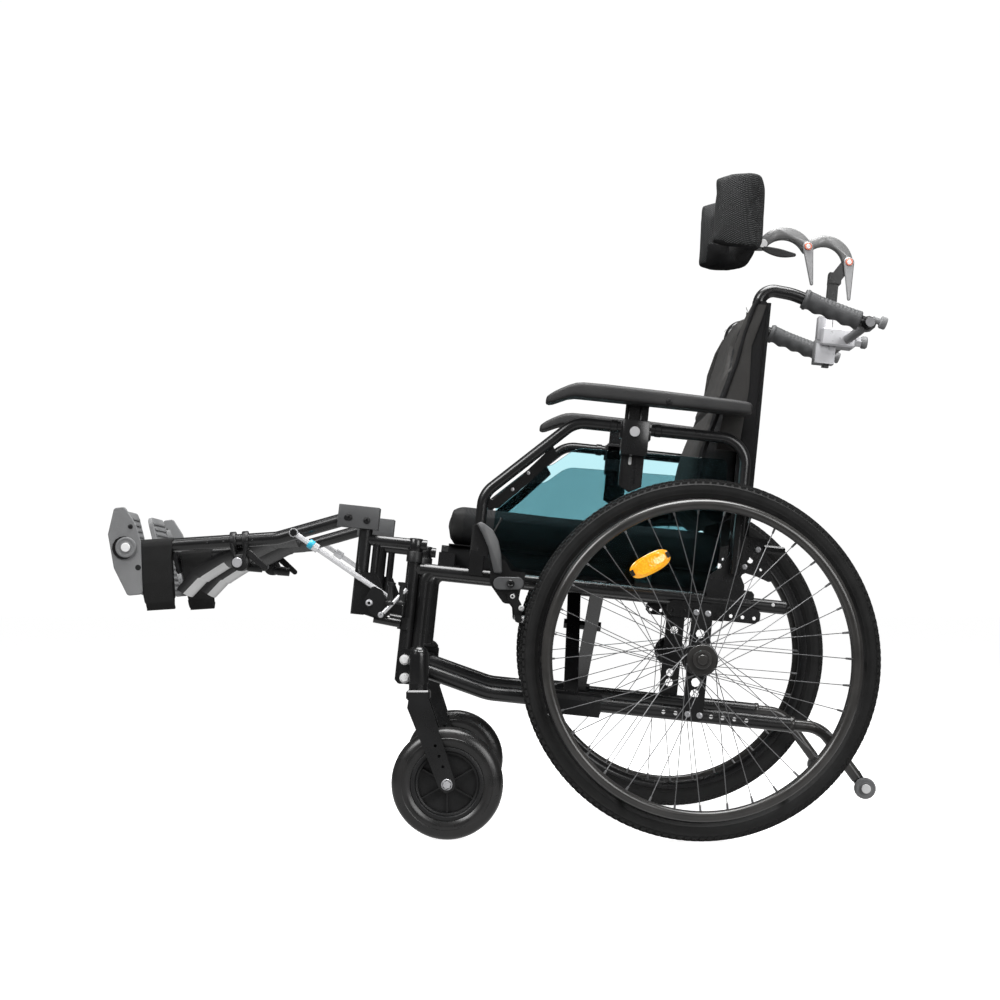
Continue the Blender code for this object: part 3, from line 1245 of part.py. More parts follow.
# Each body of a side: its parent, and its joint's place in the space named
SIDE_BODIES = (
    ("rear_wheel", "frame", (WHEEL_X, WHEEL_Y, WHEEL_R), LEVEL_SPACE),
    ("caster_fork", "frame", (CASTER_X, SWIVEL_Y, STEM_TOP), LEVEL_SPACE),
    ("caster_wheel", "caster_fork", (CASTER_X, CASTER_Y, CASTER_R), LEVEL_SPACE),
    ("brake_lever", "frame", (BRAKE_X,) + LEVER_PIVOT, FRAME_SPACE),
    ("brake_arm", "frame", (BRAKE_X,) + ARM_PIVOT, FRAME_SPACE),
    ("armrest", "frame", (ARMREST_X,) + REAR_PIVOT, FRAME_SPACE),
    ("armrest_post", "armrest", (POST_BAR_X, POST_BAR_MIDDLE, PAD_LOW), FRAME_SPACE),
    ("hanger", "frame", (FRAME_X, POST, HANGER_BAR_UP), FRAME_SPACE),
    ("leg", "hanger", (FRAME_X,) + LEG_PIVOT, FRAME_SPACE),
    ("strut", "leg", (STRUT_X,) + STRUT_PIVOT, FRAME_SPACE),
    ("calf_pad", "leg", (FRAME_X, CALF_MIDDLE, leg_axis(CALF_MIDDLE)), FRAME_SPACE),
    ("footplate", "leg", (FOOT_X,) + FOOT_HINGE, FRAME_SPACE),
    ("back", "frame", (CANE_X,) + REAR_PIVOT, FRAME_SPACE),
    ("anti_tipper", "frame", (FRAME_X, LOWER_END, LOWER_UP), FRAME_SPACE),
    ("anti_tip_wheel", "anti_tipper", (TIPPER_WHEEL_X,) + TIPPER_WHEEL, FRAME_SPACE),
    ("cross_bar", "frame", (FRAME_X, SLEEVE_FRONT, LOWER_UP), FRAME_SPACE),
)

# Each piece of a side: its builder, body and material
SIDE_PIECES = (
    ("side_frame", side_frame, "frame", "frame_paint"),
    ("axle_plate", axle_plate, "frame", "frame_paint"),
    ("caster_housing", caster_housing, "frame", "frame_paint"),
    ("rear_wheel", rear_wheel, "rear_wheel", "frame_paint"),
    ("rear_tyre", rear_tyre, "rear_wheel", "rubber"),
    ("handrim", handrim, "rear_wheel", "frame_paint"),
    ("caster_fork", caster_fork, "caster_fork", "frame_paint"),
    ("caster_rim", caster_rim, "caster_wheel", "frame_paint"),
    ("caster_tyre", caster_tyre, "caster_wheel", "rubber"),
    ("brake_lever", brake_lever, "brake_lever", "grey_plastic"),
    ("brake_arm", brake_arm, "brake_arm", "zinc"),
    ("armrest_frame", armrest_frame, "armrest", "frame_paint"),
    ("side_guard", side_guard, "armrest", "guard"),
    ("armrest_post", armrest_post, "armrest_post", "frame_paint"),
    ("armrest_pad", armrest_pad, "armrest_post", "grey_plastic"),
    ("hanger", hanger, "hanger", "frame_paint"),
    ("leg_tube", leg_tube, "leg", "frame_paint"),
    ("strut_rod", strut_rod, "strut", "chrome"),
    ("calf_pad", calf_pad, "calf_pad", "grey_plastic"),
    ("footplate", footplate, "footplate", "grey_plastic"),
    ("back_cane", back_cane, "back", "frame_paint"),
    ("push_grip", push_grip, "back", "rubber"),
    ("anti_tipper", anti_tipper, "anti_tipper", "frame_paint"),
    ("anti_tip_wheel", anti_tip_wheel, "anti_tip_wheel", "grey_plastic"),
)

# Each body and piece on the chair's middle
MIDDLE_BODIES = (
    ("seat", "frame_left", (0, SEAT_FRONT, SEAT_RAIL_UP), FRAME_SPACE),
    ("headrest_crossbar", "back_left", (0,) + HANDLE_END, FRAME_SPACE),
    ("headrest_post", "headrest_crossbar", (0, HEAD_POST, HEAD_POST_LOW), FRAME_SPACE),
    ("headrest_arm_rear", "headrest_post", (0,) + HEAD_PIVOTS[0], FRAME_SPACE),
    ("headrest_arm_front", "headrest_arm_rear", (0,) + HEAD_PIVOTS[1], FRAME_SPACE),
    ("headrest_pad", "headrest_arm_front", (0,) + HEAD_PIVOTS[2], FRAME_SPACE),
)

MIDDLE_PIECES = (
    ("seat_sling", seat_sling, "seat", "fabric"),
    ("seat_cushion", seat_cushion, "seat", "fabric"),
    ("back_cushion", back_cushion, "back_left", "fabric"),
    ("back_sling", back_sling, "back_left", "fabric"),
    ("headrest_crossbar", headrest_crossbar, "headrest_crossbar", "frame_paint"),
    ("headrest_post", headrest_post, "headrest_post", "frame_paint"),
    ("headrest_arm_rear", headrest_arm_rear, "headrest_arm_rear", "arm_grey"),
    ("headrest_arm_front", headrest_arm_front, "headrest_arm_front", "arm_grey"),
    ("headrest_pad", headrest_pad, "headrest_pad", "fabric"),
)


def make_materials():
    made = {}
    for name, (colour, roughness, metallic) in MATERIALS.items():
        material = bpy.data.materials.new(name)
        material.use_nodes = True
        shader = material.node_tree.nodes["Principled BSDF"]
        shader.inputs["Base Color"].default_value = (*colour, 1.0)
        shader.inputs["Roughness"].default_value = roughness
        shader.inputs["Metallic"].default_value = metallic
        made[name] = material
    return made


def make_pivot(pivots, name, parent, spot, space):
    """An empty on a joint's axis, hung from its parent body's empty."""
    empty = bpy.data.objects.new("pivot_" + name, None)
    empty.empty_display_size = 0.03
    bpy.context.scene.collection.objects.link(empty)
    world = space @ Matrix.Translation(spot)
    pivots[name] = (empty, world, spot)
    if parent is None:
        empty.matrix_basis = world
        return
    empty.parent = pivots[parent][0]
    empty.matrix_basis = pivots[parent][1].inverted() @ world


def merge_flat_faces(mesh):
    """Join the faces in one plane that the Booleans have split."""
    bm = bmesh.new()
    bm.from_mesh(mesh)
    bmesh.ops.remove_doubles(bm, verts=bm.verts, dist=MERGE)
    bmesh.ops.dissolve_degenerate(bm, edges=bm.edges, dist=MERGE)
    bmesh.ops.dissolve_limit(bm, angle_limit=FLAT, verts=bm.verts, edges=bm.edges)
    bm.to_mesh(mesh)
    bm.free()


def hang(obj, name, pivot, material):
    """Name a finished mesh, move its origin to its body's empty and give it its material."""
    empty, _, spot = pivot
    obj.name = name
    obj.data.name = name
    obj.data.transform(Matrix.Translation(spot).inverted())
    merge_flat_faces(obj.data)
    obj.parent = empty
    obj.data.materials.clear()
    obj.data.materials.append(material)
    for face in obj.data.polygons:
        face.material_index = 0
    obj.data.shade_smooth()
    obj.data.set_sharp_from_angle(angle=math.radians(35))


def mirrored(obj):
    """A copy of a left piece for the right side."""
    copy = bpy.data.objects.new("piece", obj.data.copy())
    bpy.context.scene.collection.objects.link(copy)
    copy.data.transform(Matrix.Scale(-1, 4, (1, 0, 0)))
    copy.data.flip_normals()
    return copy


def other_side(spot):
    return (-spot[0], spot[1], spot[2])


def build():
    for obj in list(bpy.data.objects):
        bpy.data.objects.remove(obj)
    materials = make_materials()
    pivots = {}
    make_pivot(pivots, "frame_left", None, (FRAME_X, 0, LOWER_UP), FRAME_SPACE)
    make_pivot(pivots, "frame_right", "frame_left", (-FRAME_X, 0, LOWER_UP), FRAME_SPACE)
    for name, parent, spot, space in SIDE_BODIES:
        make_pivot(pivots, name + "_left", parent + "_left", spot, space)
        make_pivot(pivots, name + "_right", parent + "_right", other_side(spot), space)
    for body in MIDDLE_BODIES:
        make_pivot(pivots, *body)
    for name, builder, body, material in SIDE_PIECES:
        left = builder()
        right = mirrored(left)
        hang(left, name + "_left", pivots[body + "_left"], materials[material])
        hang(right, name + "_right", pivots[body + "_right"], materials[material])
    hang(cross_bar(BAR_LEFT, True), "cross_bar_left", pivots["cross_bar_left"], materials["frame_paint"])
    right = cross_bar(BAR_RIGHT, False)
    right.data.transform(Matrix.Scale(-1, 4, (1, 0, 0)))
    right.data.flip_normals()
    hang(right, "cross_bar_right", pivots["cross_bar_right"], materials["frame_paint"])
    for name, builder, body, material in MIDDLE_PIECES:
        hang(builder(), name, pivots[body], materials[material])


build()
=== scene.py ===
"""The looks of a folding reclining wheelchair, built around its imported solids.

It is laid out as an add-on and run as a script. Each operator makes one group of pieces. Most
pieces are modelled in the space of the side frames, which slope down to the rear, as (x, along,
up), and the wheels in the level space of the floor. A left piece is mirrored for the right side.
"""

import math

import bmesh
import bpy
from mathutils import Matrix, Vector, noise


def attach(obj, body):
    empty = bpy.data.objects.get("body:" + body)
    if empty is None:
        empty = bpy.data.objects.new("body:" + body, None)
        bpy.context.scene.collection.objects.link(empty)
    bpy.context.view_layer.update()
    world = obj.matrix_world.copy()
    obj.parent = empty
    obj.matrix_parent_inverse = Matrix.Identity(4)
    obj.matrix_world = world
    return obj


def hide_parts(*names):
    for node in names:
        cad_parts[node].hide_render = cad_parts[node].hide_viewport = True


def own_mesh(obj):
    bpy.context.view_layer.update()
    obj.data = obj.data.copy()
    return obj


bl_info = {
    "name": "Reclining Wheelchair",
    "version": (1, 0, 0),
    "blender": (4, 5, 0),
    "location": "3D View > Sidebar > Wheelchair",
    "description": "Builds the visible pieces of a folding reclining wheelchair",
    "category": "Object",
}

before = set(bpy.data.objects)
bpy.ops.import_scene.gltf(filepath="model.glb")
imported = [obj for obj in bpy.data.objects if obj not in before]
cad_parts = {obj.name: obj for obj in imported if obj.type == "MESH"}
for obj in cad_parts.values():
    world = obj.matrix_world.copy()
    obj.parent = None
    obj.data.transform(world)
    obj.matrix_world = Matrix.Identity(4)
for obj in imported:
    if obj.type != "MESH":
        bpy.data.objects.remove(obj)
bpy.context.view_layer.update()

TILT = math.radians(6.0)
LEVEL = Matrix.Translation((0, -0.0012, 0))
SLOPED = LEVEL @ Matrix.Rotation(-TILT, 4, "X")
FRAME_X = 0.225         # centre plane of a side frame
COVER = 0.0006          # how far a round sleeve stands proud of the solid's flat-sided tube
ACROSS = (1, 0, 0)
ALONG = (0, 1, 0)
UPWARD = (0, 0, 1)
BOTH = ("_left", "_right")


# Shader expressions

class Wire:
    """A shader socket that takes part in a Python expression through Math nodes."""

    def __init__(self, nodes, socket):
        self.nodes = nodes
        self.socket = socket

    def maths(self, operation, first, second=0.0):
        return self.nodes.node("ShaderNodeMath", {"operation": operation}, {0: first, 1: second})

    def __add__(self, other):
        return self.maths("ADD", self, other)

    def __radd__(self, other):
        return self.maths("ADD", other, self)

    def __sub__(self, other):
        return self.maths("SUBTRACT", self, other)

    def __rsub__(self, other):
        return self.maths("SUBTRACT", other, self)

    def __mul__(self, other):
        return self.maths("MULTIPLY", self, other)

    def __rmul__(self, other):
        return self.maths("MULTIPLY", other, self)

    def __pow__(self, other):
        return self.maths("POWER", self, other)

    def __lt__(self, other):
        return self.maths("LESS_THAN", self, other)

    def sine(self):
        return self.maths("SINE", self)


class Nodes:
    """The nodes of a material or of the world. Any node comes from node()."""

    def __init__(self, tree):
        self.tree = tree

    def node(self, kind, settings, sockets, output=0):
        """Add a node: its settings first, then the values or links of its sockets."""
        made = self.tree.nodes.new(kind)
        for key, value in settings.items():
            if key == "stops":
                self.set_stops(made.color_ramp, value)
            else:
                setattr(made, key, value)
        for key, value in sockets.items():
            self.join(value, made.inputs[key])
        return Wire(self, made.outputs[output])

    def beside(self, wire, *outputs):
        """Other outputs of the node that a wire comes from."""
        return [Wire(self, wire.socket.node.outputs[output]) for output in outputs]

    def set_stops(self, ramp, stops):
        while len(ramp.elements) < len(stops):
            ramp.elements.new(0.5)
        for element, (spot, colour) in zip(ramp.elements, stops):
            element.position = spot
            element.color = (*colour, 1.0)

    def join(self, value, socket):
        """Link a wire to a socket, or set a value on it."""
        if isinstance(value, Wire):
            self.tree.links.new(value.socket, socket)
        elif hasattr(value, "__len__") and len(value) == 3 and socket.type == "RGBA":
            socket.default_value = (*value, 1.0)
        else:
            socket.default_value = value


class Finish(Nodes):
    """A material in the making; feed() joins wires or values to its shader."""

    def __init__(self, name, roughness, metallic=0.0, **fixed):
        self.material = bpy.data.materials.new(name)
        self.material.use_nodes = True
        super().__init__(self.material.node_tree)
        self.shader = self.tree.nodes["Principled BSDF"]
        self.feed(Roughness=roughness, Metallic=metallic, **fixed)
        self.place = None

    def feed(self, **sockets):
        for key, value in sockets.items():
            self.join(value, self.shader.inputs[key.replace("_", " ")])

    def where(self):
        """The place on the piece, in metres."""
        if self.place is None:
            self.place = self.node("ShaderNodeTexCoord", {}, {}, "Object")
        return self.place

    def axes(self):
        """The place's parts across, along and up."""
        split = self.node("ShaderNodeSeparateXYZ", {}, {0: self.where()})
        return self.beside(split, 0, 1, 2)

    def grain(self, scale, detail=3.0, rough=0.5):
        sockets = {"Vector": self.where(), "Scale": scale, "Detail": detail, "Roughness": rough}
        return self.node("ShaderNodeTexNoise", {}, sockets)

    def cells(self, scale, feature):
        sockets = {"Vector": self.where(), "Scale": scale}
        return self.node("ShaderNodeTexVoronoi", {"feature": feature}, sockets)

    def ramp(self, value, *stops):
        return self.node("ShaderNodeValToRGB", {"stops": stops}, {"Fac": value})

    def mix(self, share, first, second):
        settings = {"data_type": "RGBA"}
        return self.node("ShaderNodeMix", settings, {0: share, 6: first, 7: second}, 2)

    def bump(self, height, distance, strength):
        sockets = {"Height": height, "Distance": distance, "Strength": strength}
        self.feed(Normal=self.node("ShaderNodeBump", {}, sockets))


def uneven(finish, spots, low, high, smooth, rough):
    """Let a coarse pattern shift a finish between two colours and two roughnesses."""
    finish.feed(Base_Color=finish.ramp(spots, (0.30, low), (0.75, high)))
    finish.feed(Roughness=smooth + spots * (rough - smooth))


def powder_coat(name, low, high, roughness):
    """Black powder coat: a fine orange peel with a little dust in its colour."""
    finish = Finish(name, roughness, Coat_Weight=0.25, Coat_Roughness=0.15)
    uneven(finish, finish.grain(18.0, 4.0), low, high, roughness - 0.06, roughness + 0.06)
    finish.bump(finish.grain(1400.0, 2.0), 0.00012, 0.5)
    return finish.material


def bare_metal(name, colour, roughness, scratch):
    """Plated or bare steel with faint brushing. It is only partly metallic, so part of its colour is lit
    like paint; in the pale chrome this is a painted reflection of the bright studio.
    """
    finish = Finish(name, roughness, 0.4)
    soft = finish.grain(60.0, 5.0)
    finish.feed(Base_Color=finish.mix(soft, [c * 0.82 for c in colour], colour))
    finish.feed(Roughness=roughness * 0.7 + soft * roughness * 0.6)
    finish.bump(finish.grain(900.0, 3.0), 0.0001, scratch)
    return finish.material


def tyre_rubber():
    finish = Finish("tyre_rubber", 0.62, Specular_IOR_Level=0.25)
    uneven(finish, finish.grain(26.0, 6.0, 0.6), (0.008, 0.008, 0.008), (0.018, 0.018, 0.018), 0.46, 0.76)
    finish.bump(finish.grain(1100.0, 3.0), 0.0002, 0.6)
    return finish.material


def caster_rubber():
    """The small wheels' smooth, slightly shiny solid tyre."""
    finish = Finish("caster_rubber", 0.28)
    uneven(finish, finish.grain(35.0, 4.0), (0.012, 0.012, 0.012), (0.022, 0.021, 0.021), 0.20, 0.36)
    finish.bump(finish.grain(700.0, 2.0), 0.00012, 0.4)
    return finish.material


def moulded_plastic(name, low, high, roughness, pebble, depth=0.0003):
    """Moulded plastic with a pebbled skin."""
    finish = Finish(name, roughness, Specular_IOR_Level=0.35)
    skin = finish.cells(pebble, "SMOOTH_F1")
    finish.feed(Base_Color=finish.ramp(finish.grain(14.0, 4.0), (0.30, low), (0.72, high)))
    finish.feed(Roughness=roughness - 0.05 + skin * 0.12)
    finish.bump(skin, depth, 0.8)
    return finish.material


def tinted_sheet():
    """The side guards' clear tinted sheet: what lies behind shows through it in teal."""
    finish = Finish("tinted_sheet", 0.05, Transmission_Weight=1.0, IOR=1.12)
    soft = finish.grain(7.0, 2.0)
    finish.feed(Base_Color=finish.mix(soft, (0.20, 0.335, 0.360), (0.24, 0.375, 0.400)))
    finish.feed(Roughness=0.03 + soft * 0.04)
    return finish.material


def woven(name, low, high, thread, depth, roughness=0.8):
    """A plain weave whose threads cross along the piece's own directions."""
    finish = Finish(name, roughness, Sheen_Weight=0.02, Sheen_Roughness=0.5, Specular_IOR_Level=0.15)
    across, along, up = finish.axes()
    turn = 2 * math.pi / thread
    warp = ((across + along * 0.35) * turn).sine()
    weft = ((up + along * 0.94) * turn).sine()
    weave = warp * weft * 0.5 + 0.5
    worn = finish.grain(9.0, 4.0, 0.6)
    finish.feed(Base_Color=finish.mix(worn * 0.7 + weave * 0.3, low, high))
    finish.feed(Roughness=roughness - 0.08 + worn * 0.16)
    finish.bump(weave, depth, 0.7)
    return finish.material


def spacer_mesh(name, low, high, cell, depth):
    """Knitted spacer mesh: rows of small holes with lighter threads between them."""
    finish = Finish(name, 0.7, Sheen_Weight=0.03, Sheen_Roughness=0.4, Specular_IOR_Level=0.15)
    across, along, up = finish.axes()
    turn = math.pi / cell
    first = ((up + along * 0.55 + across * 0.55) * turn).sine()
    second = ((up - along * 0.55 - across * 0.55) * turn).sine()
    knit = first * second
    hole = (knit * knit) ** 0.6
    worn = finish.grain(12.0, 3.0)
    finish.feed(Base_Color=finish.mix(hole, finish.mix(worn, low, [c * 1.5 for c in low]), high))
    finish.feed(Roughness=0.60 + worn * 0.20)
    finish.bump(hole, depth, 0.9)
    return finish.material


def reflector_with_painted_glow():
    """Amber reflector with its prism cells; its emission is a painted glow, for it is no lamp."""
    # The emission is a painted glow on the reflector.
    finish = Finish("amber_reflector", 0.12, Coat_Weight=1.0, Coat_Roughness=0.03,
                    Emission_Color=(1.0, 0.48, 0.01), Emission_Strength=0.30)
    cell = finish.cells(260.0, "F1")
    finish.feed(Base_Color=finish.ramp(cell, (0.05, (1.0, 0.54, 0.03)), (0.75, (0.95, 0.34, 0.01))))
    finish.bump(cell, 0.0006, 0.6)
    return finish.material


def plain_gloss(name, low, high, roughness, metallic=0.0):
    finish = Finish(name, roughness, metallic, Coat_Weight=0.3, Coat_Roughness=0.15)
    soft = finish.grain(40.0, 3.0)
    finish.feed(Base_Color=finish.mix(soft, low, high))
    finish.feed(Roughness=roughness - 0.04 + soft * 0.1)
    finish.bump(finish.grain(800.0, 2.0), 0.0001, 0.3)
    return finish.material


FINISHES = {}


def make_finishes(looks):
    black = list(looks.frame_colour)
    panel = list(looks.panel_colour)
    FINISHES.update({
        "coat": powder_coat("black_coat", black, [c * 1.9 for c in black], 0.27),
        "gunmetal": powder_coat("gunmetal_coat", (0.024, 0.023, 0.022), (0.044, 0.042, 0.040), 0.24),
        "steel": bare_metal("spoke_steel", (0.19, 0.19, 0.195), 0.30, 0.15),
        # Chrome's near-white colour, lit as paint, is a painted reflection of the bright studio.
        "chrome": bare_metal("polished_chrome", (0.86, 0.86, 0.88), 0.09, 0.05),
        "zinc": bare_metal("zinc_plate", (0.60, 0.60, 0.62), 0.30, 0.4),
        "tyre": tyre_rubber(),
        "caster": caster_rubber(),
        "pad": moulded_plastic(
            "pad_skin", (0.022, 0.022, 0.0225), (0.040, 0.039, 0.039), 0.55, 700.0, 0.0005),
        "grey": moulded_plastic(
            "grey_moulding", (0.165, 0.167, 0.170), (0.220, 0.222, 0.225), 0.55, 900.0),
        "slate": moulded_plastic(
            "slate_moulding", (0.070, 0.071, 0.073), (0.105, 0.106, 0.108), 0.45, 900.0),
        "dark": moulded_plastic(
            "dark_moulding", (0.008, 0.008, 0.0085), (0.016, 0.016, 0.0165), 0.40, 900.0),
        "grip": moulded_plastic(
            "grip_rubber", (0.050, 0.051, 0.053), (0.082, 0.083, 0.085), 0.55, 1100.0),
        "arm": plain_gloss("arm_enamel", (0.17, 0.17, 0.17), (0.23, 0.23, 0.23), 0.35, 0.2),
        "lever": plain_gloss("lever_enamel", (0.25, 0.25, 0.255), (0.34, 0.34, 0.345), 0.35, 0.2),
        "button": plain_gloss("coral_button", (0.72, 0.17, 0.10), (0.82, 0.24, 0.15), 0.30),
        "cyan": plain_gloss("cyan_clip", (0.02, 0.42, 0.62), (0.04, 0.52, 0.72), 0.35),
        "white": plain_gloss("white_cap", (0.72, 0.72, 0.72), (0.82, 0.82, 0.82), 0.35),
        "guard": tinted_sheet(),
        "reflector": reflector_with_painted_glow(),
        "nylon": woven(
            "black_nylon", (0.006, 0.006, 0.0065), (0.015, 0.015, 0.0155), 0.0011, 0.0002),
        "panel": woven("grey_panel", panel, [c * 1.7 for c in panel], 0.0009, 0.00015, 0.68),
        "seat_front": woven(
            "seat_front", (0.012, 0.012, 0.012), (0.024, 0.024, 0.024), 0.0009, 0.00015, 0.68),
        "webbing": woven(
            "black_webbing", (0.008, 0.008, 0.008), (0.022, 0.022, 0.022), 0.0022, 0.0005),
        "knit": spacer_mesh(
            "spacer_knit", (0.006, 0.006, 0.0065), (0.070, 0.072, 0.072), 0.0034, 0.0007),
        "fine_knit": spacer_mesh(
            "fine_knit", (0.004, 0.004, 0.0045), (0.022, 0.023, 0.0235), 0.0024, 0.0004),
    })


# Meshes

def square_to(ahead):
    """Two directions that are square to one and to each other."""
    side = Vector(UPWARD if abs(ahead.x) > 0.9 else ACROSS)
    side = (side - ahead * side.dot(ahead)).normalized()
    return side, ahead.cross(side)


def oval(centre, wide, high, count):
    """Points round a centre, where wide and high are the two half axes."""
    turns = [2 * math.pi * k / count for k in range(count)]
    return [centre + wide * math.cos(turn) + high * math.sin(turn) for turn in turns]


def round_wheel(number, count):
    """The outward direction of one of a wheel's equal parts, and the direction beside it."""
    angle = 2 * math.pi * number / count
    return Vector((0, math.sin(angle), math.cos(angle))), Vector((0, math.cos(angle), -math.sin(angle)))


def both_faces(half):
    """Close a profile whose first half is given with its mirror image, apart from its middle."""
    return half + [(radius, -distance) for radius, distance in half[::-1] if distance]


def bends(points, radius, steps=8, closed=False):
    """Round the corners of a path or an outline with arcs that meet its runs smoothly."""
    points = [Vector(point) for point in points]
    count = len(points)
    radii = radius if isinstance(radius, (list, tuple)) else [radius] * count
    result = []
    for i, corner in enumerate(points):
        if radii[i] == 0 or (not closed and i in (0, count - 1)):
            result.append(corner)
            continue
        before = points[i - 1] - corner
        after = points[(i + 1) % count] - corner
        reach = 0.49 * min(before.length, after.length)
        before.normalize()
        after.normalize()
        half = before.angle(after) / 2
        if half > 1.565:
            result.append(corner)
            continue
        bend = min(radii[i], reach * math.tan(half))
        centre = (before + after).normalized() * (bend / math.sin(half))
        start = before * (bend / math.tan(half)) - centre
        end = after * (bend / math.tan(half)) - centre
        sweep = math.pi - 2 * half
        for step in range(steps + 1):
            share = step / steps
            spot = start * math.sin((1 - share) * sweep) + end * math.sin(share * sweep)
            result.append(corner + centre + spot / math.sin(sweep))
    return result


def flat(points, x=FRAME_X):
    """Places given as (along, up), at one x."""
    return [Vector((x, along, up)) for along, up in points]


def capsule(start, end, start_r, end_r):
    """The outline of an arm with two round ends."""
    steps = 8
    start = Vector(start)
    end = Vector(end)
    ahead = (end - start).angle_signed(Vector((1, 0)))
    lean = math.acos((start_r - end_r) / (end - start).length)
    outline = []
    ends = ((end, end_r, -lean, lean), (start, start_r, lean, 2 * math.pi - lean))
    for middle, radius, first, last in ends:
        for step in range(steps + 1):
            angle = ahead + first + (last - first) * step / steps
            outline.append(middle + Vector((math.cos(angle), math.sin(angle))) * radius)
    return outline


def arc_through(start, middle, end):
    """The centre, radius, first angle and sweep of the arc through three points."""
    (ax, ay), (bx, by), (cx, cy) = start, middle, end
    scale = 2 * (ax * (by - cy) + bx * (cy - ay) + cx * (ay - by))
    sa, sb, sc = ax * ax + ay * ay, bx * bx + by * by, cx * cx + cy * cy
    centre = Vector(((sa * (by - cy) + sb * (cy - ay) + sc * (ay - by)) / scale,
                     (sa * (cx - bx) + sb * (ax - cx) + sc * (bx - ax)) / scale))
    first = math.atan2(ay - centre.y, ax - centre.x)
    last = math.atan2(cy - centre.y, cx - centre.x)
    sweep = (last - first + math.pi) % (2 * math.pi) - math.pi
    return centre, (Vector(start) - centre).length, first, sweep


def bow(start, middle, end, wide_start, wide_middle, wide_end):
    """The outline of a curved arm that is wider in its middle, with round ends."""
    steps = 14
    centre, radius, first, sweep = arc_through(start, middle, end)
    outer = []
    inner = []
    for step in range(steps + 1):
        share = step / steps
        swell = math.sin(math.pi * share)
        half = wide_start + (wide_end - wide_start) * share
        half += (wide_middle - (wide_start + wide_end) / 2) * swell
        angle = first + sweep * share
        ray = Vector((math.cos(angle), math.sin(angle)))
        outer.append(centre + ray * (radius + half))
        inner.append(centre + ray * (radius - half))
    turn = 1 if sweep > 0 else -1
    outline = outer
    for middle, wide, from_angle, back in ((end, wide_end, first + sweep, inner[::-1]),
                                           (start, wide_start, first + math.pi, [])):
        for step in range(1, 6):
            angle = from_angle + turn * math.pi * step / 6
            outline.append(Vector(middle) + Vector((math.cos(angle), math.sin(angle))) * wide)
        outline += back
    return outline


def soft_box(half_wide, half_high, power, count):
    """A soft rectangle with round corners, as (across, high) points."""
    points = []
    for i in range(count):
        angle = 2 * math.pi * (i + 0.5) / count
        wide = abs(math.cos(angle)) ** (2 / power) * half_wide
        high = abs(math.sin(angle)) ** (2 / power) * half_high
        points.append((math.copysign(wide, math.cos(angle)), math.copysign(high, math.sin(angle))))
    return points


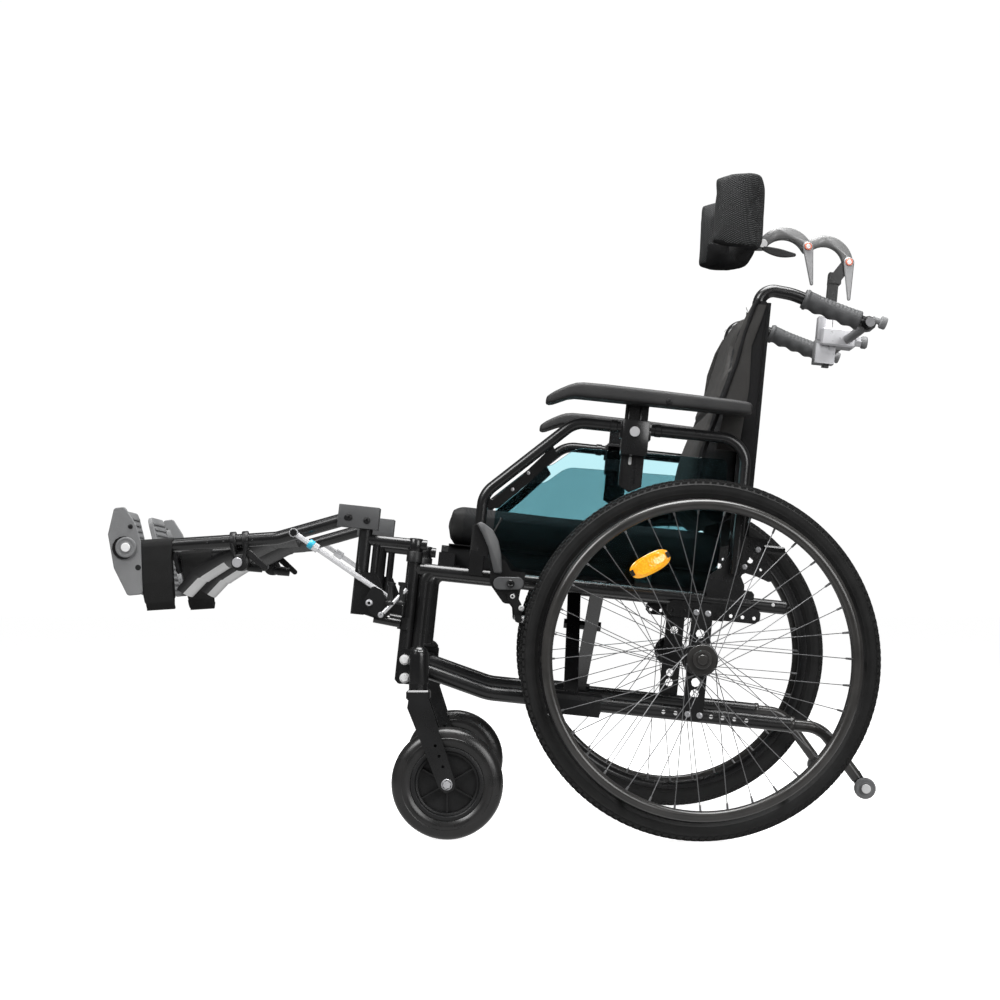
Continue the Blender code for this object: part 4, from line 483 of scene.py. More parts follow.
class Shape:
    """The mesh of a piece in the making."""

    def __init__(self):
        self.bm = bmesh.new()

    def skin(self, rings, around=False, mark=0):
        """Join rings of points; the last one joins the first, or both ends are closed."""
        rows = [[self.bm.verts.new(point) for point in ring] for ring in rings]
        pairs = list(zip(rows, rows[1:]))
        if around:
            pairs.append((rows[-1], rows[0]))
        for low, high in pairs:
            for i in range(len(low)):
                j = (i + 1) % len(low)
                self.bm.faces.new((low[i], low[j], high[j], high[i])).material_index = mark
        if not around:
            self.bm.faces.new(rows[0][::-1]).material_index = mark
            self.bm.faces.new(rows[-1]).material_index = mark
        return self

    def tube(self, path, radius, sides=20, mark=0):
        """A round bar along a path; radius is one value, or one for each point."""
        path = [Vector(point) for point in path]
        radii = radius if isinstance(radius, (list, tuple)) else [radius] * len(path)
        rings = []
        side = None
        for i, point in enumerate(path):
            ahead = (path[min(i + 1, len(path) - 1)] - path[max(i - 1, 0)]).normalized()
            if side is None:
                side = square_to(ahead)[0]
            side = (side - ahead * side.dot(ahead)).normalized()
            rings.append(oval(point, side * radii[i], ahead.cross(side) * radii[i], sides))
        return self.skin(rings, False, mark)

    def across(self, spot, low, high, radius, sides=24, mark=0):
        """A round bar across the chair with small round edges."""
        edge = min(0.0007, radius * 0.3, (high - low) * 0.3)
        path = [(x, spot[0], spot[1]) for x in (low, low + edge, high - edge, high)]
        return self.tube(path, [radius - edge, radius, radius, radius - edge], sides, mark)

    def turned(self, profile, centre, axis, segments, around=True, mark=0):
        """Turn a profile of (radius, distance along the axis) about an axis."""
        ahead = Vector(axis).normalized()
        side, up = square_to(ahead)
        rings = [oval(Vector(centre) + ahead * distance, side * radius, up * radius, segments)
                 for radius, distance in profile]
        return self.skin(rings, around, mark)

    def plate(self, outline, low, high, edge):
        """A plate square to X with its edges cut back."""
        points = [Vector(point) for point in outline]
        count = len(points)
        inside = []
        turn = sum(points[i - 1].x * points[i].y - points[i].x * points[i - 1].y for i in range(count))
        for i, point in enumerate(points):
            run = (points[(i + 1) % count] - points[i - 1]).normalized()
            normal = Vector((run.y, -run.x)) * (1 if turn > 0 else -1)
            inside.append(point - normal * edge)
        rings = []
        for x, line in ((low, inside), (low + edge, points), (high - edge, points), (high, inside)):
            rings.append([(x, point.x, point.y) for point in line])
        return self.skin(rings)

    def block(self, low, high, bevel):
        """A box between two corners with its edges cut back."""
        made = bmesh.ops.create_cube(self.bm, size=1.0)
        low = Vector(low)
        high = Vector(high)
        for vert in made["verts"]:
            share = vert.co + Vector((0.5, 0.5, 0.5))
            vert.co = [low[i] + (high[i] - low[i]) * share[i] for i in range(3)]
        edges = list({edge for vert in made["verts"] for edge in vert.link_edges})
        bmesh.ops.bevel(self.bm, geom=edges, offset=bevel, segments=2, profile=0.5, affect="EDGES")
        return self

    def hexagon(self, spot, low, high, radius):
        """A bolt head across the chair, with its washer under it."""
        washer = low + (high - low) * 0.25
        self.across(spot, low, washer, radius * 1.35, 20)
        corners = [math.pi * k / 3 + 0.3 for k in range(6)]
        ring = [Vector(spot) + Vector((math.cos(angle), math.sin(angle))) * radius for angle in corners]
        return self.plate(ring, washer, high, 0.0005)

    def screw(self, spot, face, radius):
        """A domed screw head with a hex socket in it, on a face square to X."""
        profile = [(radius * 0.45, -0.0002), (radius * 0.42, 0.0009)]
        profile += [(radius * 0.45, radius * 0.42), (radius * 0.8, radius * 0.32), (radius, 0.0)]
        profile += [(radius, -0.0004), (radius * 0.5, -0.0004)]
        self.turned(profile, (face, *spot), ACROSS, 24)
        return self.tube([(face - 0.0004, *spot), (face + 0.0009, *spot)], radius * 0.46, 6)


def finish_mesh(shape, name, space, mirror, finishes, smooth):
    bm = shape.bm.copy()
    bmesh.ops.recalc_face_normals(bm, faces=bm.faces)
    mesh = bpy.data.meshes.new(name)
    bm.to_mesh(mesh)
    bm.free()
    mesh.transform(space)
    if mirror:
        mesh.transform(Matrix.Scale(-1, 4, (1, 0, 0)))
        mesh.flip_normals()
    for finish in finishes:
        mesh.materials.append(FINISHES[finish])
    mesh.shade_smooth()
    mesh.set_sharp_from_angle(angle=math.radians(smooth))
    piece = bpy.data.objects.new(name, mesh)
    bpy.context.scene.collection.objects.link(piece)
    return piece


def make(shape, name, body, finishes, space=SLOPED, smooth=40, stands_for="", sides=("",)):
    """Make a piece and hang it on its body. It takes the place of the solid that it stands for."""
    pieces = []
    for side in sides:
        piece = finish_mesh(shape, name + side, space, side == "_right", finishes.split(), smooth)
        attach(piece, body + side)
        if stands_for:
            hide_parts(stands_for + side)
        pieces.append(piece)
    shape.bm.free()
    return pieces


def make_pair(shape, name, body, finishes, space=SLOPED, smooth=40, stands_for=""):
    """Make a piece on the left and its mirror image on the right."""
    return make(shape, name, body, finishes, space, smooth, stands_for, BOTH)


def dress(nodes, finish):
    """Give the solids that stay in view their material and smooth shading."""
    for node in nodes.split():
        for side in ("", *BOTH):
            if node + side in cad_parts:
                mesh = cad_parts[node + side].data
                mesh.materials.clear()
                mesh.materials.append(FINISHES[finish])
                mesh.shade_smooth()
                mesh.set_sharp_from_angle(angle=math.radians(35))


# Rear wheels

WHEEL = (0.285, 0.338, 0.305)           # the left wheel's middle
WHEEL_AXIS = Vector((0, WHEEL[1], WHEEL[2]))
RIM_R = 0.2717
HUB_IN = 0.2543         # inner and outer face of the hub
HUB_OUT = 0.3165
HANDRIM_R = 0.259
HANDRIM_X = 0.325
SPOKES = 36
REFLECTOR_TURNS = {"_left": math.radians(-27.9), "_right": 0.12}


def rear_rim():
    inner = RIM_R - 0.0157
    profile = [(RIM_R, 0.0116), (RIM_R - 0.0010, 0.0124), (RIM_R - 0.0070, 0.0124),
               (RIM_R - 0.0100, 0.0110), (inner + 0.0012, 0.0078), (inner, 0.0055), (inner - 0.0004, 0.0)]
    return Shape().turned(both_faces(profile), WHEEL, ACROSS, 144)


def rear_hub():
    """A flanged hub with its round cap; the middle is waisted between the flanges."""
    low, high = HUB_IN - WHEEL[0], HUB_OUT - WHEEL[0]
    flange = [(0.0235, 0.0), (0.0285, 0.0008), (0.0285, 0.0054), (0.0235, 0.0062), (0.0170, 0.0080)]
    profile = [(0.0066, low), (0.0185, low), (0.0200, low + 0.0015)]
    profile += [(radius, low + 0.0035 + distance) for radius, distance in flange]
    profile += [(0.0138, low + 0.016), (0.0132, 0.0), (0.0138, high - 0.0230)]
    profile += [(radius, high - 0.0110 - distance) for radius, distance in flange[::-1]]
    profile += [(0.0205, high - 0.0095), (0.0200, high - 0.0012), (0.0188, high), (0.0066, high)]
    hub = Shape().turned(profile, WHEEL, ACROSS, 48)
    cap = [(0.0250, -0.0030), (0.0250, 0.0012), (0.0238, 0.0024), (0.0165, 0.0026), (0.0158, 0.0098),
           (0.0148, 0.0112), (0.0112, 0.0114), (0.0104, 0.0106), (0.0092, 0.0106), (0.0084, 0.0128),
           (0.0072, 0.0138), (0.0004, 0.0140)]
    hub.turned(cap, (HUB_OUT - 0.0001, *WHEEL[1:]), ACROSS, 48, False, 1)
    return hub


def spoke_ends(number):
    """The flange end and the rim end of a crossed spoke."""
    flange = number % 2
    lead = 1 if (number // 2) % 2 else -1
    place = number // 2 + 0.5 * flange
    crossed = math.radians(62) / (2 * math.pi) * (SPOKES // 2)
    start = WHEEL_AXIS + round_wheel(place + lead * crossed, SPOKES // 2)[0] * 0.0250
    start.x = (HUB_IN + 0.0065, HUB_OUT - 0.0140)[flange] + lead * 0.0026
    end = WHEEL_AXIS + round_wheel(place, SPOKES // 2)[0] * (RIM_R - 0.0140)
    end.x = WHEEL[0] + (2 * flange - 1) * 0.003
    return start, end


def rear_spokes():
    """Crossed spokes with their nipples at the rim and their heads in the flanges."""
    spokes = Shape()
    for number in range(SPOKES):
        start, end = spoke_ends(number)
        ahead = (end - start).normalized()
        spokes.tube([start, end - ahead * 0.010], 0.00082, 6)
        spokes.tube([end - ahead * 0.013, end - ahead * 0.004, end], [0.0017, 0.0020, 0.0022], 8)
        inward = Vector((0.0012 if number % 4 in (1, 2) else -0.0012, 0, 0))
        spokes.tube([start - inward, start + inward], 0.0019, 8)
    return spokes


def tyre_tread():
    """Rows of small blocks round the tyre's crown, with a zigzag row in the middle."""
    tread = Shape()
    count = 150
    rows = ((-0.0128, 0.3000, 0.0042, 0.0), (-0.0062, 0.3036, 0.0040, 0.5), (0.0, 0.3044, 0.0034, 0.0),
            (0.0062, 0.3036, 0.0040, 0.5), (0.0128, 0.3000, 0.0042, 0.0))
    for across, reach, half, offset in rows:
        for number in range(count):
            straight, around = round_wheel(number + offset, count)
            out = (straight + Vector((across * 14, 0, 0))).normalized()
            wide = out.cross(around).normalized()
            middle = WHEEL_AXIS + Vector((WHEEL[0] + across, 0, 0)) + straight * (reach - 0.0020)
            rings = []
            for lift, shrink in ((-0.0018, 1.0), (0.0020, 0.86)):
                rings.append([middle + out * lift + around * (first * 0.0044 * shrink + second * 0.0008)
                              + wide * (second * half * 0.62 * shrink)
                              for first, second in ((-1, -1), (1, -1), (1, 1), (-1, 1))])
            tread.skin(rings)
    return tread


def rear_tyre():
    """The carcass: a round crown, and side walls with a raised line and a bead."""
    half = [(RIM_R + 0.0004, 0.0), (RIM_R + 0.0004, 0.0112), (RIM_R + 0.0030, 0.0128),
            (RIM_R + 0.0060, 0.0142), (RIM_R + 0.0072, 0.0154), (RIM_R + 0.0084, 0.0154),
            (RIM_R + 0.0110, 0.0164), (RIM_R + 0.0160, 0.0172), (RIM_R + 0.0205, 0.0168),
            (RIM_R + 0.0215, 0.0171), (RIM_R + 0.0222, 0.0166), (0.2955, 0.0150), (0.2985, 0.0115),
            (0.3000, 0.0070), (0.3005, 0.0)]
    return Shape().turned(both_faces(half), WHEEL, ACROSS, 160)


def handrim():
    """The pushing hoop on six flat tabs from the rim."""
    section = oval(Vector((HANDRIM_R, HANDRIM_X - WHEEL[0])), Vector((0.0093, 0)), Vector((0, 0.0093)), 16)
    hoop = Shape().turned(section, WHEEL, ACROSS, 144)
    for number in range(6):
        out, beside = round_wheel(number + 0.5, 6)
        start = WHEEL_AXIS + out * 0.2662 + Vector((0.2975, 0, 0))
        end = WHEEL_AXIS + out * HANDRIM_R + Vector((HANDRIM_X, 0, 0))
        hoop.skin([oval(start.lerp(end, share), beside * wide, out * 0.0034, 12)
                   for share, wide in ((0, 0.0068), (0.25, 0.0062), (0.7, 0.0058), (1, 0.0050))])
    return hoop


def wheel_reflector(angle):
    """An oval reflector with a raised middle, held by two clips between crossing spokes."""
    shape = Shape()
    out, beside = round_wheel(angle, 2 * math.pi)
    middle = WHEEL_AXIS + out * 0.181 + Vector((0.3015, 0, 0))
    for low, high, size in ((-0.0030, 0.0040, 1.0), (0.0038, 0.0058, 0.80)):
        rings = []
        for x, shrink in ((low, 0.94), (low + 0.0008, 1.0), (high - 0.0012, 1.0), (high, 0.93)):
            outline = soft_box(0.0365 * size * shrink, 0.0165 * size * shrink, 2.6, 48)
            rings.append([middle + beside * wide + out * tall + Vector((x, 0, 0))
                          for wide, tall in outline])
        shape.skin(rings)
    for sign in (-1, 1):
        spot = middle + beside * (sign * 0.0335)
        shape.skin([[spot + beside * (wide * 0.0030) + out * (tall * 0.0052) + Vector((x, 0, 0))
                     for wide, tall in ((-1, -1), (1, -1), (1, 1), (-1, 1))]
                    for x in (0.0036, 0.0066)], False, 1)
    return shape


# Small wheels

CASTER = (0.258, -0.088, 0.095)         # the left small wheel's middle
SWIVEL = -0.137         # where its fork turns, along the chair


def caster_tyre():
    half = [(0.0623, 0.0), (0.0623, 0.0160), (0.0640, 0.0172), (0.0665, 0.0182), (0.0690, 0.0196),
            (0.0730, 0.0199), (0.0765, 0.0196), (0.0772, 0.0190), (0.0780, 0.0193), (0.0820, 0.0184),
            (0.0868, 0.0162), (0.0905, 0.0132), (0.0930, 0.0096), (0.0944, 0.0050), (0.0949, 0.0)]
    return Shape().turned(both_faces(half), CASTER, ACROSS, 96)


def caster_rim():
    """A moulded rim: a stepped band, a thin web and six ribs out from the hub."""
    band = [(0.0617, 0.0168), (0.0606, 0.0174), (0.0560, 0.0174), (0.0548, 0.0166), (0.0530, 0.0110),
            (0.0500, 0.0100), (0.0492, 0.0090), (0.0492, 0.0040)]
    hub = [(0.0055, 0.0230), (0.0100, 0.0230), (0.0112, 0.0218), (0.0120, 0.0170), (0.0145, 0.0150),
           (0.0150, 0.0060)]
    web = [(0.0148, 0.0016), (0.0494, 0.0016)]
    rim = Shape()
    for half, segments in ((band, 96), (hub, 40), (web, 64)):
        rim.turned(both_faces(half), CASTER, ACROSS, segments)
    for number in range(6):
        out, beside = round_wheel(number + 3, 6)
        rim.skin([[Vector(CASTER) + out * reach + beside * wide + Vector((x * deep, 0, 0))
                   for x, wide in ((-1, -0.0011), (1, -0.0011), (1, 0.0011), (-1, 0.0011))]
                  for reach, deep in ((0.0140, 0.0130), (0.0500, 0.0095))])
    return rim


def caster_cup():
    """The bearing housing's skin with its domed cap."""
    cup = [(0.0150, 0.2620), (0.0168, 0.2630), (0.0170, 0.2650), (0.0170, 0.3100), (0.0163, 0.3150),
           (0.0146, 0.3195), (0.0118, 0.3232), (0.0080, 0.3256), (0.0040, 0.3268), (0.0003, 0.3272)]
    return Shape().turned(cup, (CASTER[0], SWIVEL, 0), UPWARD, 40, False)


def plate_bolts():
    """The two bolts that hold the bearing housing to the frame's plate."""
    bolts = Shape()
    for up in (0.303, 0.272):
        bolts.hexagon((-0.161, up), 0.2508, 0.2572, 0.0068)
    return bolts


def caster_bolts():
    """The heads of the small wheel's axle on its two fork legs."""
    bolts = Shape()
    bolts.hexagon(CASTER[1:], CASTER[0] + 0.0285, CASTER[0] + 0.0345, 0.0070)
    bolts.hexagon(CASTER[1:], CASTER[0] - 0.0345, CASTER[0] - 0.0285, 0.0070)
    return bolts


# Round sleeves over the frames' tubes

POST = -0.195           # the front post, along the chair
POST_TUBE_R = 0.011
SECOND_POST = -0.1735   # the slimmer upright behind it, in two parts that meet at HOOK_UP
SECOND_POST_R = 0.0106
HOOK_UP = 0.3914
SEAT_UP = 0.440         # the seat tube's level
LOWER_UP = 0.2425       # the lower tube's level
LOWER_R = 0.0125
HANGER = -0.283         # the legrest carrier's upright
HANGER_BAR_UP = 0.482
HANGER_BAR_R = 0.009
HOOP_X = 0.247          # the armrest's bent tube
HOOP_TOP = 0.719
HOOP_R = 0.009
CANE_X = 0.207          # a back cane and its push handle
CANE = 0.354
CANE_R = 0.0105
HANDLE_BEND = (0.410, 0.9855)
HANDLE_END = (0.546, 0.947)
LEG = ((-0.317, 0.515), (-0.434, 0.468), (-0.615, 0.437), (-0.684, 0.4262))
LEG_R = 0.011
TIPPER_R = 0.0095
TIPPER_END = (0.609, 0.1495)


def side_frame_tubes():
    """The front post, the seat tube, the lower tube and the second upright's bend."""
    tubes = Shape()
    tubes.tube(flat(((POST, 0.262), (POST, 0.4705))), POST_TUBE_R + COVER)
    tubes.tube(flat(((POST + 0.012, SEAT_UP), (0.447, SEAT_UP))), POST_TUBE_R + COVER)
    lower = flat(((POST, 0.279), (-0.045, LOWER_UP), (0.4812, LOWER_UP)))
    tubes.tube(bends(lower, 0.10, 10), LOWER_R + COVER)
    second = flat(((SECOND_POST, HOOK_UP), (SECOND_POST, SEAT_UP), (POST + 0.075, SEAT_UP)))
    tubes.tube(bends(second, 0.020), SECOND_POST_R)
    return tubes


def side_frame_fittings():
    """The front post's collar, the seat tube's plug and two collars on the second upright."""
    shape = Shape()
    collar = [(0.0138, 0.4520), (0.0138, 0.4690), (0.0130, 0.4702), (0.0112, 0.4702), (0.0112, 0.4510)]
    shape.turned(collar, (FRAME_X, POST, 0), UPWARD, 32)
    plug = [(0.0100, 0.444), (0.0100, 0.4490), (0.0085, 0.4505), (0.0003, 0.4510)]
    shape.turned(plug, (FRAME_X, 0, SEAT_UP), ALONG, 28, False)
    for up in (0.300, 0.283):
        collar = [(0.0140, up), (0.0145, up + 0.002), (0.0140, up + 0.004), (0.0112, up + 0.0045),
                  (0.0112, up - 0.0005)]
        shape.turned(collar, (FRAME_X, SECOND_POST, 0), UPWARD, 28)
    return shape


def bolts_of_frame():
    """Zinc screws of the axle plate and the rear bracket, and of the seat rail's cradles."""
    bolts = Shape()
    for spot in ((0.295, 0.4165), (0.315, 0.4165), (0.297, 0.2425), (0.3175, 0.2425)):
        bolts.screw(spot, 0.2448, 0.0056)
    for spot in ((0.391, 0.5345), (0.3705, 0.5030)):
        bolts.screw(spot, 0.2341, 0.0050)
    for along in (-0.128, 0.212):
        bolts.tube([(0.181, along, 0.4440), (0.181, along, 0.4385)], [0.0048, 0.0036], 16)
    return bolts


def holes_of_frame():
    """White discs on the lower tube and the seat tube's end where their bores are: painted light from the
    backdrop that would show through them.
    """
    holes = Shape()
    for along in (0.2562, 0.2770, 0.3378, 0.3575, 0.3778, 0.3985):
        holes.across((along, 0.2420), 0.2370, 0.23795, 0.0036, 16)
    holes.across((0.4253, 0.4429), 0.2355, 0.23665, 0.0032, 16)
    return holes


def armrest_hoop():
    """The armrest's bent tube with the two rings beside its clamp."""
    rear, front = 0.353, -0.088
    path = ((front, 0.4800), (front, 0.580), (0.056, HOOP_TOP), (rear, HOOP_TOP), (rear, 0.488))
    hoop = Shape().tube(bends(flat(path, HOOP_X), [0, 0.045, 0.050, 0.045, 0], 12), HOOP_R + COVER)
    for along in (0.122, 0.198):
        ring = [(0.0098, -0.006), (0.0112, -0.005), (0.0112, 0.005), (0.0098, 0.006)]
        hoop.turned(ring, (HOOP_X, along, HOOP_TOP), ALONG, 24)
    return hoop


def hanger_tubes():
    """The carrier's upright, its two bars and brace, and its domed pin in the front post."""
    hanger = Shape()
    hanger.tube(flat(((HANGER, 0.3525), (HANGER, 0.503))), POST_TUBE_R + COVER, 24)
    hanger.tube(flat(((HANGER, HANGER_BAR_UP), (-0.176, HANGER_BAR_UP))), HANGER_BAR_R + COVER, 24)
    hanger.tube(flat(((-0.253, 0.3485), (-0.207, 0.3445)), 0.2342), 0.0065 + COVER, 20)
    hanger.tube(flat(((-0.262, 0.356), (-0.262, HANGER_BAR_UP))), 0.006 + COVER, 16)
    hanger.tube(flat(((SECOND_POST, 0.3060), (SECOND_POST, HOOK_UP + 0.0006))), SECOND_POST_R)
    pin = [(0.0118, 0.4706), (0.0128, 0.4730), (0.0128, 0.4900), (0.0110, 0.4925), (0.0003, 0.4935)]
    return hanger.turned(pin, (FRAME_X, POST, 0), UPWARD, 32, False)


def leg_sleeve():
    path = bends(flat(LEG), 0.05, 10)
    path[0] = path[0].lerp(path[1], 0.06)
    return Shape().tube(path, LEG_R + COVER, 24)


def cane_sleeve():
    """The cane and the push handle that bends back from its top."""
    path = flat(((CANE, 0.480), (CANE, 0.990), HANDLE_BEND, HANDLE_END), CANE_X)
    return Shape().tube(bends(path, [0, 0.035, 0.10, 0], 12), CANE_R + COVER, 24)


def tipper_sleeve():
    """The bent tube of an anti-tipper with its collar and the button that locks it."""
    path = bends(flat(((0.4815, LOWER_UP), (0.528, LOWER_UP), (0.598, 0.1640))), 0.055, 12)
    tipper = Shape().tube(path, TIPPER_R + COVER, 24)
    collar = [(0.0136, 0.4740), (0.0142, 0.4760), (0.0142, 0.4800), (0.0134, 0.4816), (0.0098, 0.4816),
              (0.0098, 0.4740)]
    tipper.turned(collar, (FRAME_X, 0, LOWER_UP), ALONG, 28)
    return tipper.across((0.462, LOWER_UP), FRAME_X + 0.0095, FRAME_X + 0.0150, 0.0040, 20)


# Armrests

CLAMP_BUTTON = (0.158, 0.712)

def armrest_pad():
    """A long moulded pad whose nose slopes down, with a soft edge all round."""
    stations = [(0.0015, 0.7475, 0.7525, 0.0200), (0.0030, 0.7450, 0.7560, 0.0235),
                (0.0075, 0.7440, 0.7600, 0.0262), (0.0140, 0.7455, 0.7650, 0.0275),
                (0.0240, 0.7500, 0.7712, 0.0280), (0.0380, 0.7565, 0.7788, 0.0282),
                (0.0500, 0.7590, 0.7836, 0.0283), (0.0630, 0.7592, 0.7856, 0.0284),
                (0.1000, 0.7592, 0.7862, 0.0284), (0.2000, 0.7592, 0.7850, 0.0284),
                (0.3200, 0.7592, 0.7826, 0.0284), (0.3400, 0.7594, 0.7818, 0.0280),
                (0.3480, 0.7602, 0.7800, 0.0268), (0.3515, 0.7618, 0.7770, 0.0245)]
    rings = []
    for along, low, high, half in stations:
        ring = []
        for x, up in soft_box(half, (high - low) / 2, 5.0, 40):
            crown = 0.0010 * (1 - (x / half) ** 2) if up > 0 else 0.0
            ring.append((0.256 + x, along, (low + high) / 2 + up + crown))
        rings.append(ring)
    return Shape().skin(rings)


def armrest_clamp():
    """The block that clamps the post to the hoop, with a raised frame round its button."""
    shape = Shape().block((0.2290, 0.1372, 0.6720), (0.2605, 0.1828, 0.7330), 0.0020)
    shape.block((0.2600, 0.1392, 0.6740), (0.2618, 0.1808, 0.7310), 0.0006)
    shape.block((0.2290, 0.1335, 0.7000), (0.2560, 0.1865, 0.7290), 0.0015)
    shape.across(CLAMP_BUTTON, 0.2612, 0.2625, 0.0100, 32)
    return shape


def post_cover():
    """The flat bar's outer skin with its two raised edges."""
    outline = ((0.1400, 0.6205), (0.1600, 0.6095), (0.1800, 0.6205), (0.1800, 0.7600),
               (0.1400, 0.7600))
    shape = Shape().plate(outline, 0.2310, 0.2366, 0.0003)
    for along in (0.1452, 0.1662):
        shape.block((0.2362, along - 0.0018, 0.624), (0.2372, along + 0.0018, 0.7600), 0.0003)
    return shape


def guard_strip():
    """The black strip behind the sloping tube that carries the guard's front edge."""
    path = [(-0.0840, 0.5570), (-0.0606, 0.5587), (-0.0136, 0.6076), (0.0245, 0.6501), (0.0330, 0.6600),
            (0.0200, 0.6790), (0.0124, 0.6650), (-0.0257, 0.6200), (-0.0727, 0.5720), (-0.0840, 0.5800)]
    return Shape().plate(bends(path, 0.003, 3, True), 0.2290, 0.2312, 0.0004)


def side_guard():
    outline = ((-0.065, 0.583), (-0.065, 0.500), (-0.020, 0.460), (0.315, 0.456), (0.325, 0.470),
               (0.325, 0.684), (0.063, 0.677), (0.0215, 0.641), (-0.008, 0.638))
    radii = [0.012, 0.030, 0.020, 0.006, 0.006, 0.012, 0.045, 0.030, 0.040]
    return Shape().plate(bends(outline, radii, 10, True), 0.2255, 0.2285, 0.0005)


# Legrests

CALF_SHARE = 0.351      # where the calf pad's clamp and the heel strap sit on the leg's long run
HEEL_SHARE = 1.14
STRAP_WIDTH = 0.060
FOOT_PLACE = (0.205, -0.686, 0.4175)
FOOT_TURN = math.radians(-69.8)
FOOT = SLOPED @ Matrix.Translation(FOOT_PLACE) @ Matrix.Rotation(FOOT_TURN, 4, "X")
STRUT_PIVOT = Vector((0.2475, -0.404, 0.480))
STRUT_AHEAD = Vector((0, 0.8805, -0.4741))


def along_leg(share):
    """A point on the leg tube's long straight run, and the run's direction."""
    start, end = flat(LEG[1:3])
    return start.lerp(end, share), (end - start).normalized()


def calf_loops():
    """The pierced plastic clamp that holds the calf pad's arm under the leg tube."""
    shape = Shape()
    middle, ahead = along_leg(CALF_SHARE)
    down = Vector((0, -ahead.z, ahead.y))
    band = [(0.0126, 0.0052), (0.0152, 0.0052), (0.0160, 0.0040)]
    for sign in (-1, 1):
        shape.turned(both_faces(band), middle + ahead * (0.0105 * sign), ahead, 36)
        for side in (-1, 1):
            leg = [middle + ahead * (place * sign) + Vector((x * side, 0, 0)) + down * drop
                   for place, x, drop in ((0.0120, 0.0162, 0.004), (0.0095, 0.0140, 0.022),
                                          (0.0060, 0.0140, 0.037))]
            shape.tube(bends(leg, 0.010, 5), 0.0036, 12)
    rings = []
    for x, size in ((-0.0160, 0.0132), (-0.0150, 0.0146), (0.0150, 0.0146), (0.0160, 0.0132)):
        centre = middle + down * 0.038 + Vector((x, 0, 0))
        rings.append(oval(centre, Vector(ALONG) * size, Vector(UPWARD) * size, 28))
    return shape.skin(rings)


def calf_shell():
    """The dished calf pad with a rolled edge; the middle of its rear is painted white, a painted
    reflection of the bright floor under it.
    """
    profile = bends(((-0.599, 0.362), (-0.574, 0.398), (-0.535, 0.429), (-0.496, 0.446), (-0.457, 0.471),
                     (-0.407, 0.478)), 0.05, 6)
    count = len(profile)
    rings = []
    for k in range(25):
        x = 0.0665 + 0.1370 * k / 24
        across = (x - 0.135) / 0.0685
        sag = 0.016 * (1 - across ** 2)
        edge = max(0.0, 1 - abs(across)) ** 0.5
        thick = 0.0030 + 0.0042 * min(1.0, edge * 2.2)
        front = []
        rear = []
        for i in range(count):
            run = (profile[min(i + 1, count - 1)] - profile[max(i - 1, 0)]).normalized()
            normal = Vector((-run.y, run.x))
            share = i / (count - 1)
            half = normal * (thick * min(1.0, 6 * min(share, 1 - share) + 0.45))
            middle = profile[i] - normal * sag
            front.append(middle + half)
            rear.append(middle - half)
        rings.append([(x, point.x, point.y) for point in front + rear[::-1]])
    shell = Shape().skin(rings)
    around = 2 * count
    shell.bm.faces.ensure_lookup_table()
    # Painted floor light: the rear faces inside the rim take the white finish.
    for number in range(around * (len(rings) - 1)):
        inner = 3 <= number // around < len(rings) - 4
        if inner and count * 1.55 <= number % around < around - 1:
            shell.bm.faces[number].material_index = 1
    return shell


def heel_loop():
    """A loop of wide webbing hung on the leg tube, made as a thin closed band, and its length."""
    middle, ahead = along_leg(HEEL_SHARE)
    points = ((0.0000, 0.0128), (0.0100, 0.0092), (0.0128, 0.0000), (0.0140, -0.0250),
              (0.0130, -0.0620), (0.0100, -0.0960), (0.0020, -0.1090), (-0.0060, -0.1040),
              (-0.0090, -0.0880), (-0.0088, -0.0560), (-0.0088, -0.0260), (-0.0122, -0.0090),
              (-0.0128, 0.0000), (-0.0100, 0.0092))
    path = bends([Vector((x, up)) for x, up in points], 0.012, 5, True)
    count = len(path)
    half = STRAP_WIDTH / 2
    wides = (-half, -half / 3, half / 3, half)
    section = [(wide, 1) for wide in wides] + [(wide, -1) for wide in wides[::-1]]
    rings = []
    for i, point in enumerate(path):
        run = (path[(i + 1) % count] - path[i - 1]).normalized()
        skin = Vector((run.y, 0, -run.x)) * 0.0007
        sway = 0.0008 * math.sin(i * 0.7)
        depth = max(0.0, -point.y - 0.015)
        hung = middle + Vector((point.x, 0.24 * depth, point.y))
        rings.append([hung + ahead * (wide * (1 - 2.4 * depth) + sway) + skin * face
                      for wide, face in section])
    length = sum((path[i] - path[i - 1]).length for i in range(count))
    return Shape().skin(rings, True), length


def footplate():
    """A ribbed plate on two hinge barrels, in its own space at the foot rod."""
    shape = Shape()
    half, reach = 0.075, 0.145
    corners = ((-0.012, -half), (-reach, -half), (-reach, half), (-0.012, half))
    outline = bends(corners, 0.016, 8, True)
    rings = []
    middle = -(0.012 + reach) / 2
    for up, back in ((-0.0040, 0.0010), (-0.0032, 0.0), (0.0032, 0.0), (0.0040, 0.0010)):
        rings.append([(p.x - (p.x - middle) * back / 0.067, p.y - p.y * back / half, up)
                      for p in outline])
    shape.skin(rings)
    for i in range(13):
        y = -0.0630 + 0.0105 * i
        shape.block((-reach + 0.010, y - 0.0026, 0.0036), (-0.018, y + 0.0026, 0.0058), 0.0008)
    for i in range(7):
        y = -0.060 + 0.020 * i
        shape.block((-reach + 0.012, y - 0.0011, -0.0058), (-0.020, y + 0.0011, -0.0036), 0.0004)
    for low, high in ((-0.0550, -0.0330), (0.0330, 0.0550)):
        barrel = [(0.0066, low), (0.0100, low), (0.0107, low + 0.001), (0.0107, high - 0.001),
                  (0.0100, high), (0.0066, high)]
        shape.turned(barrel, (0, 0, 0), ALONG, 28)
        shape.block((-0.024, low, -0.0040), (-0.007, high, 0.0040), 0.001)
    return shape


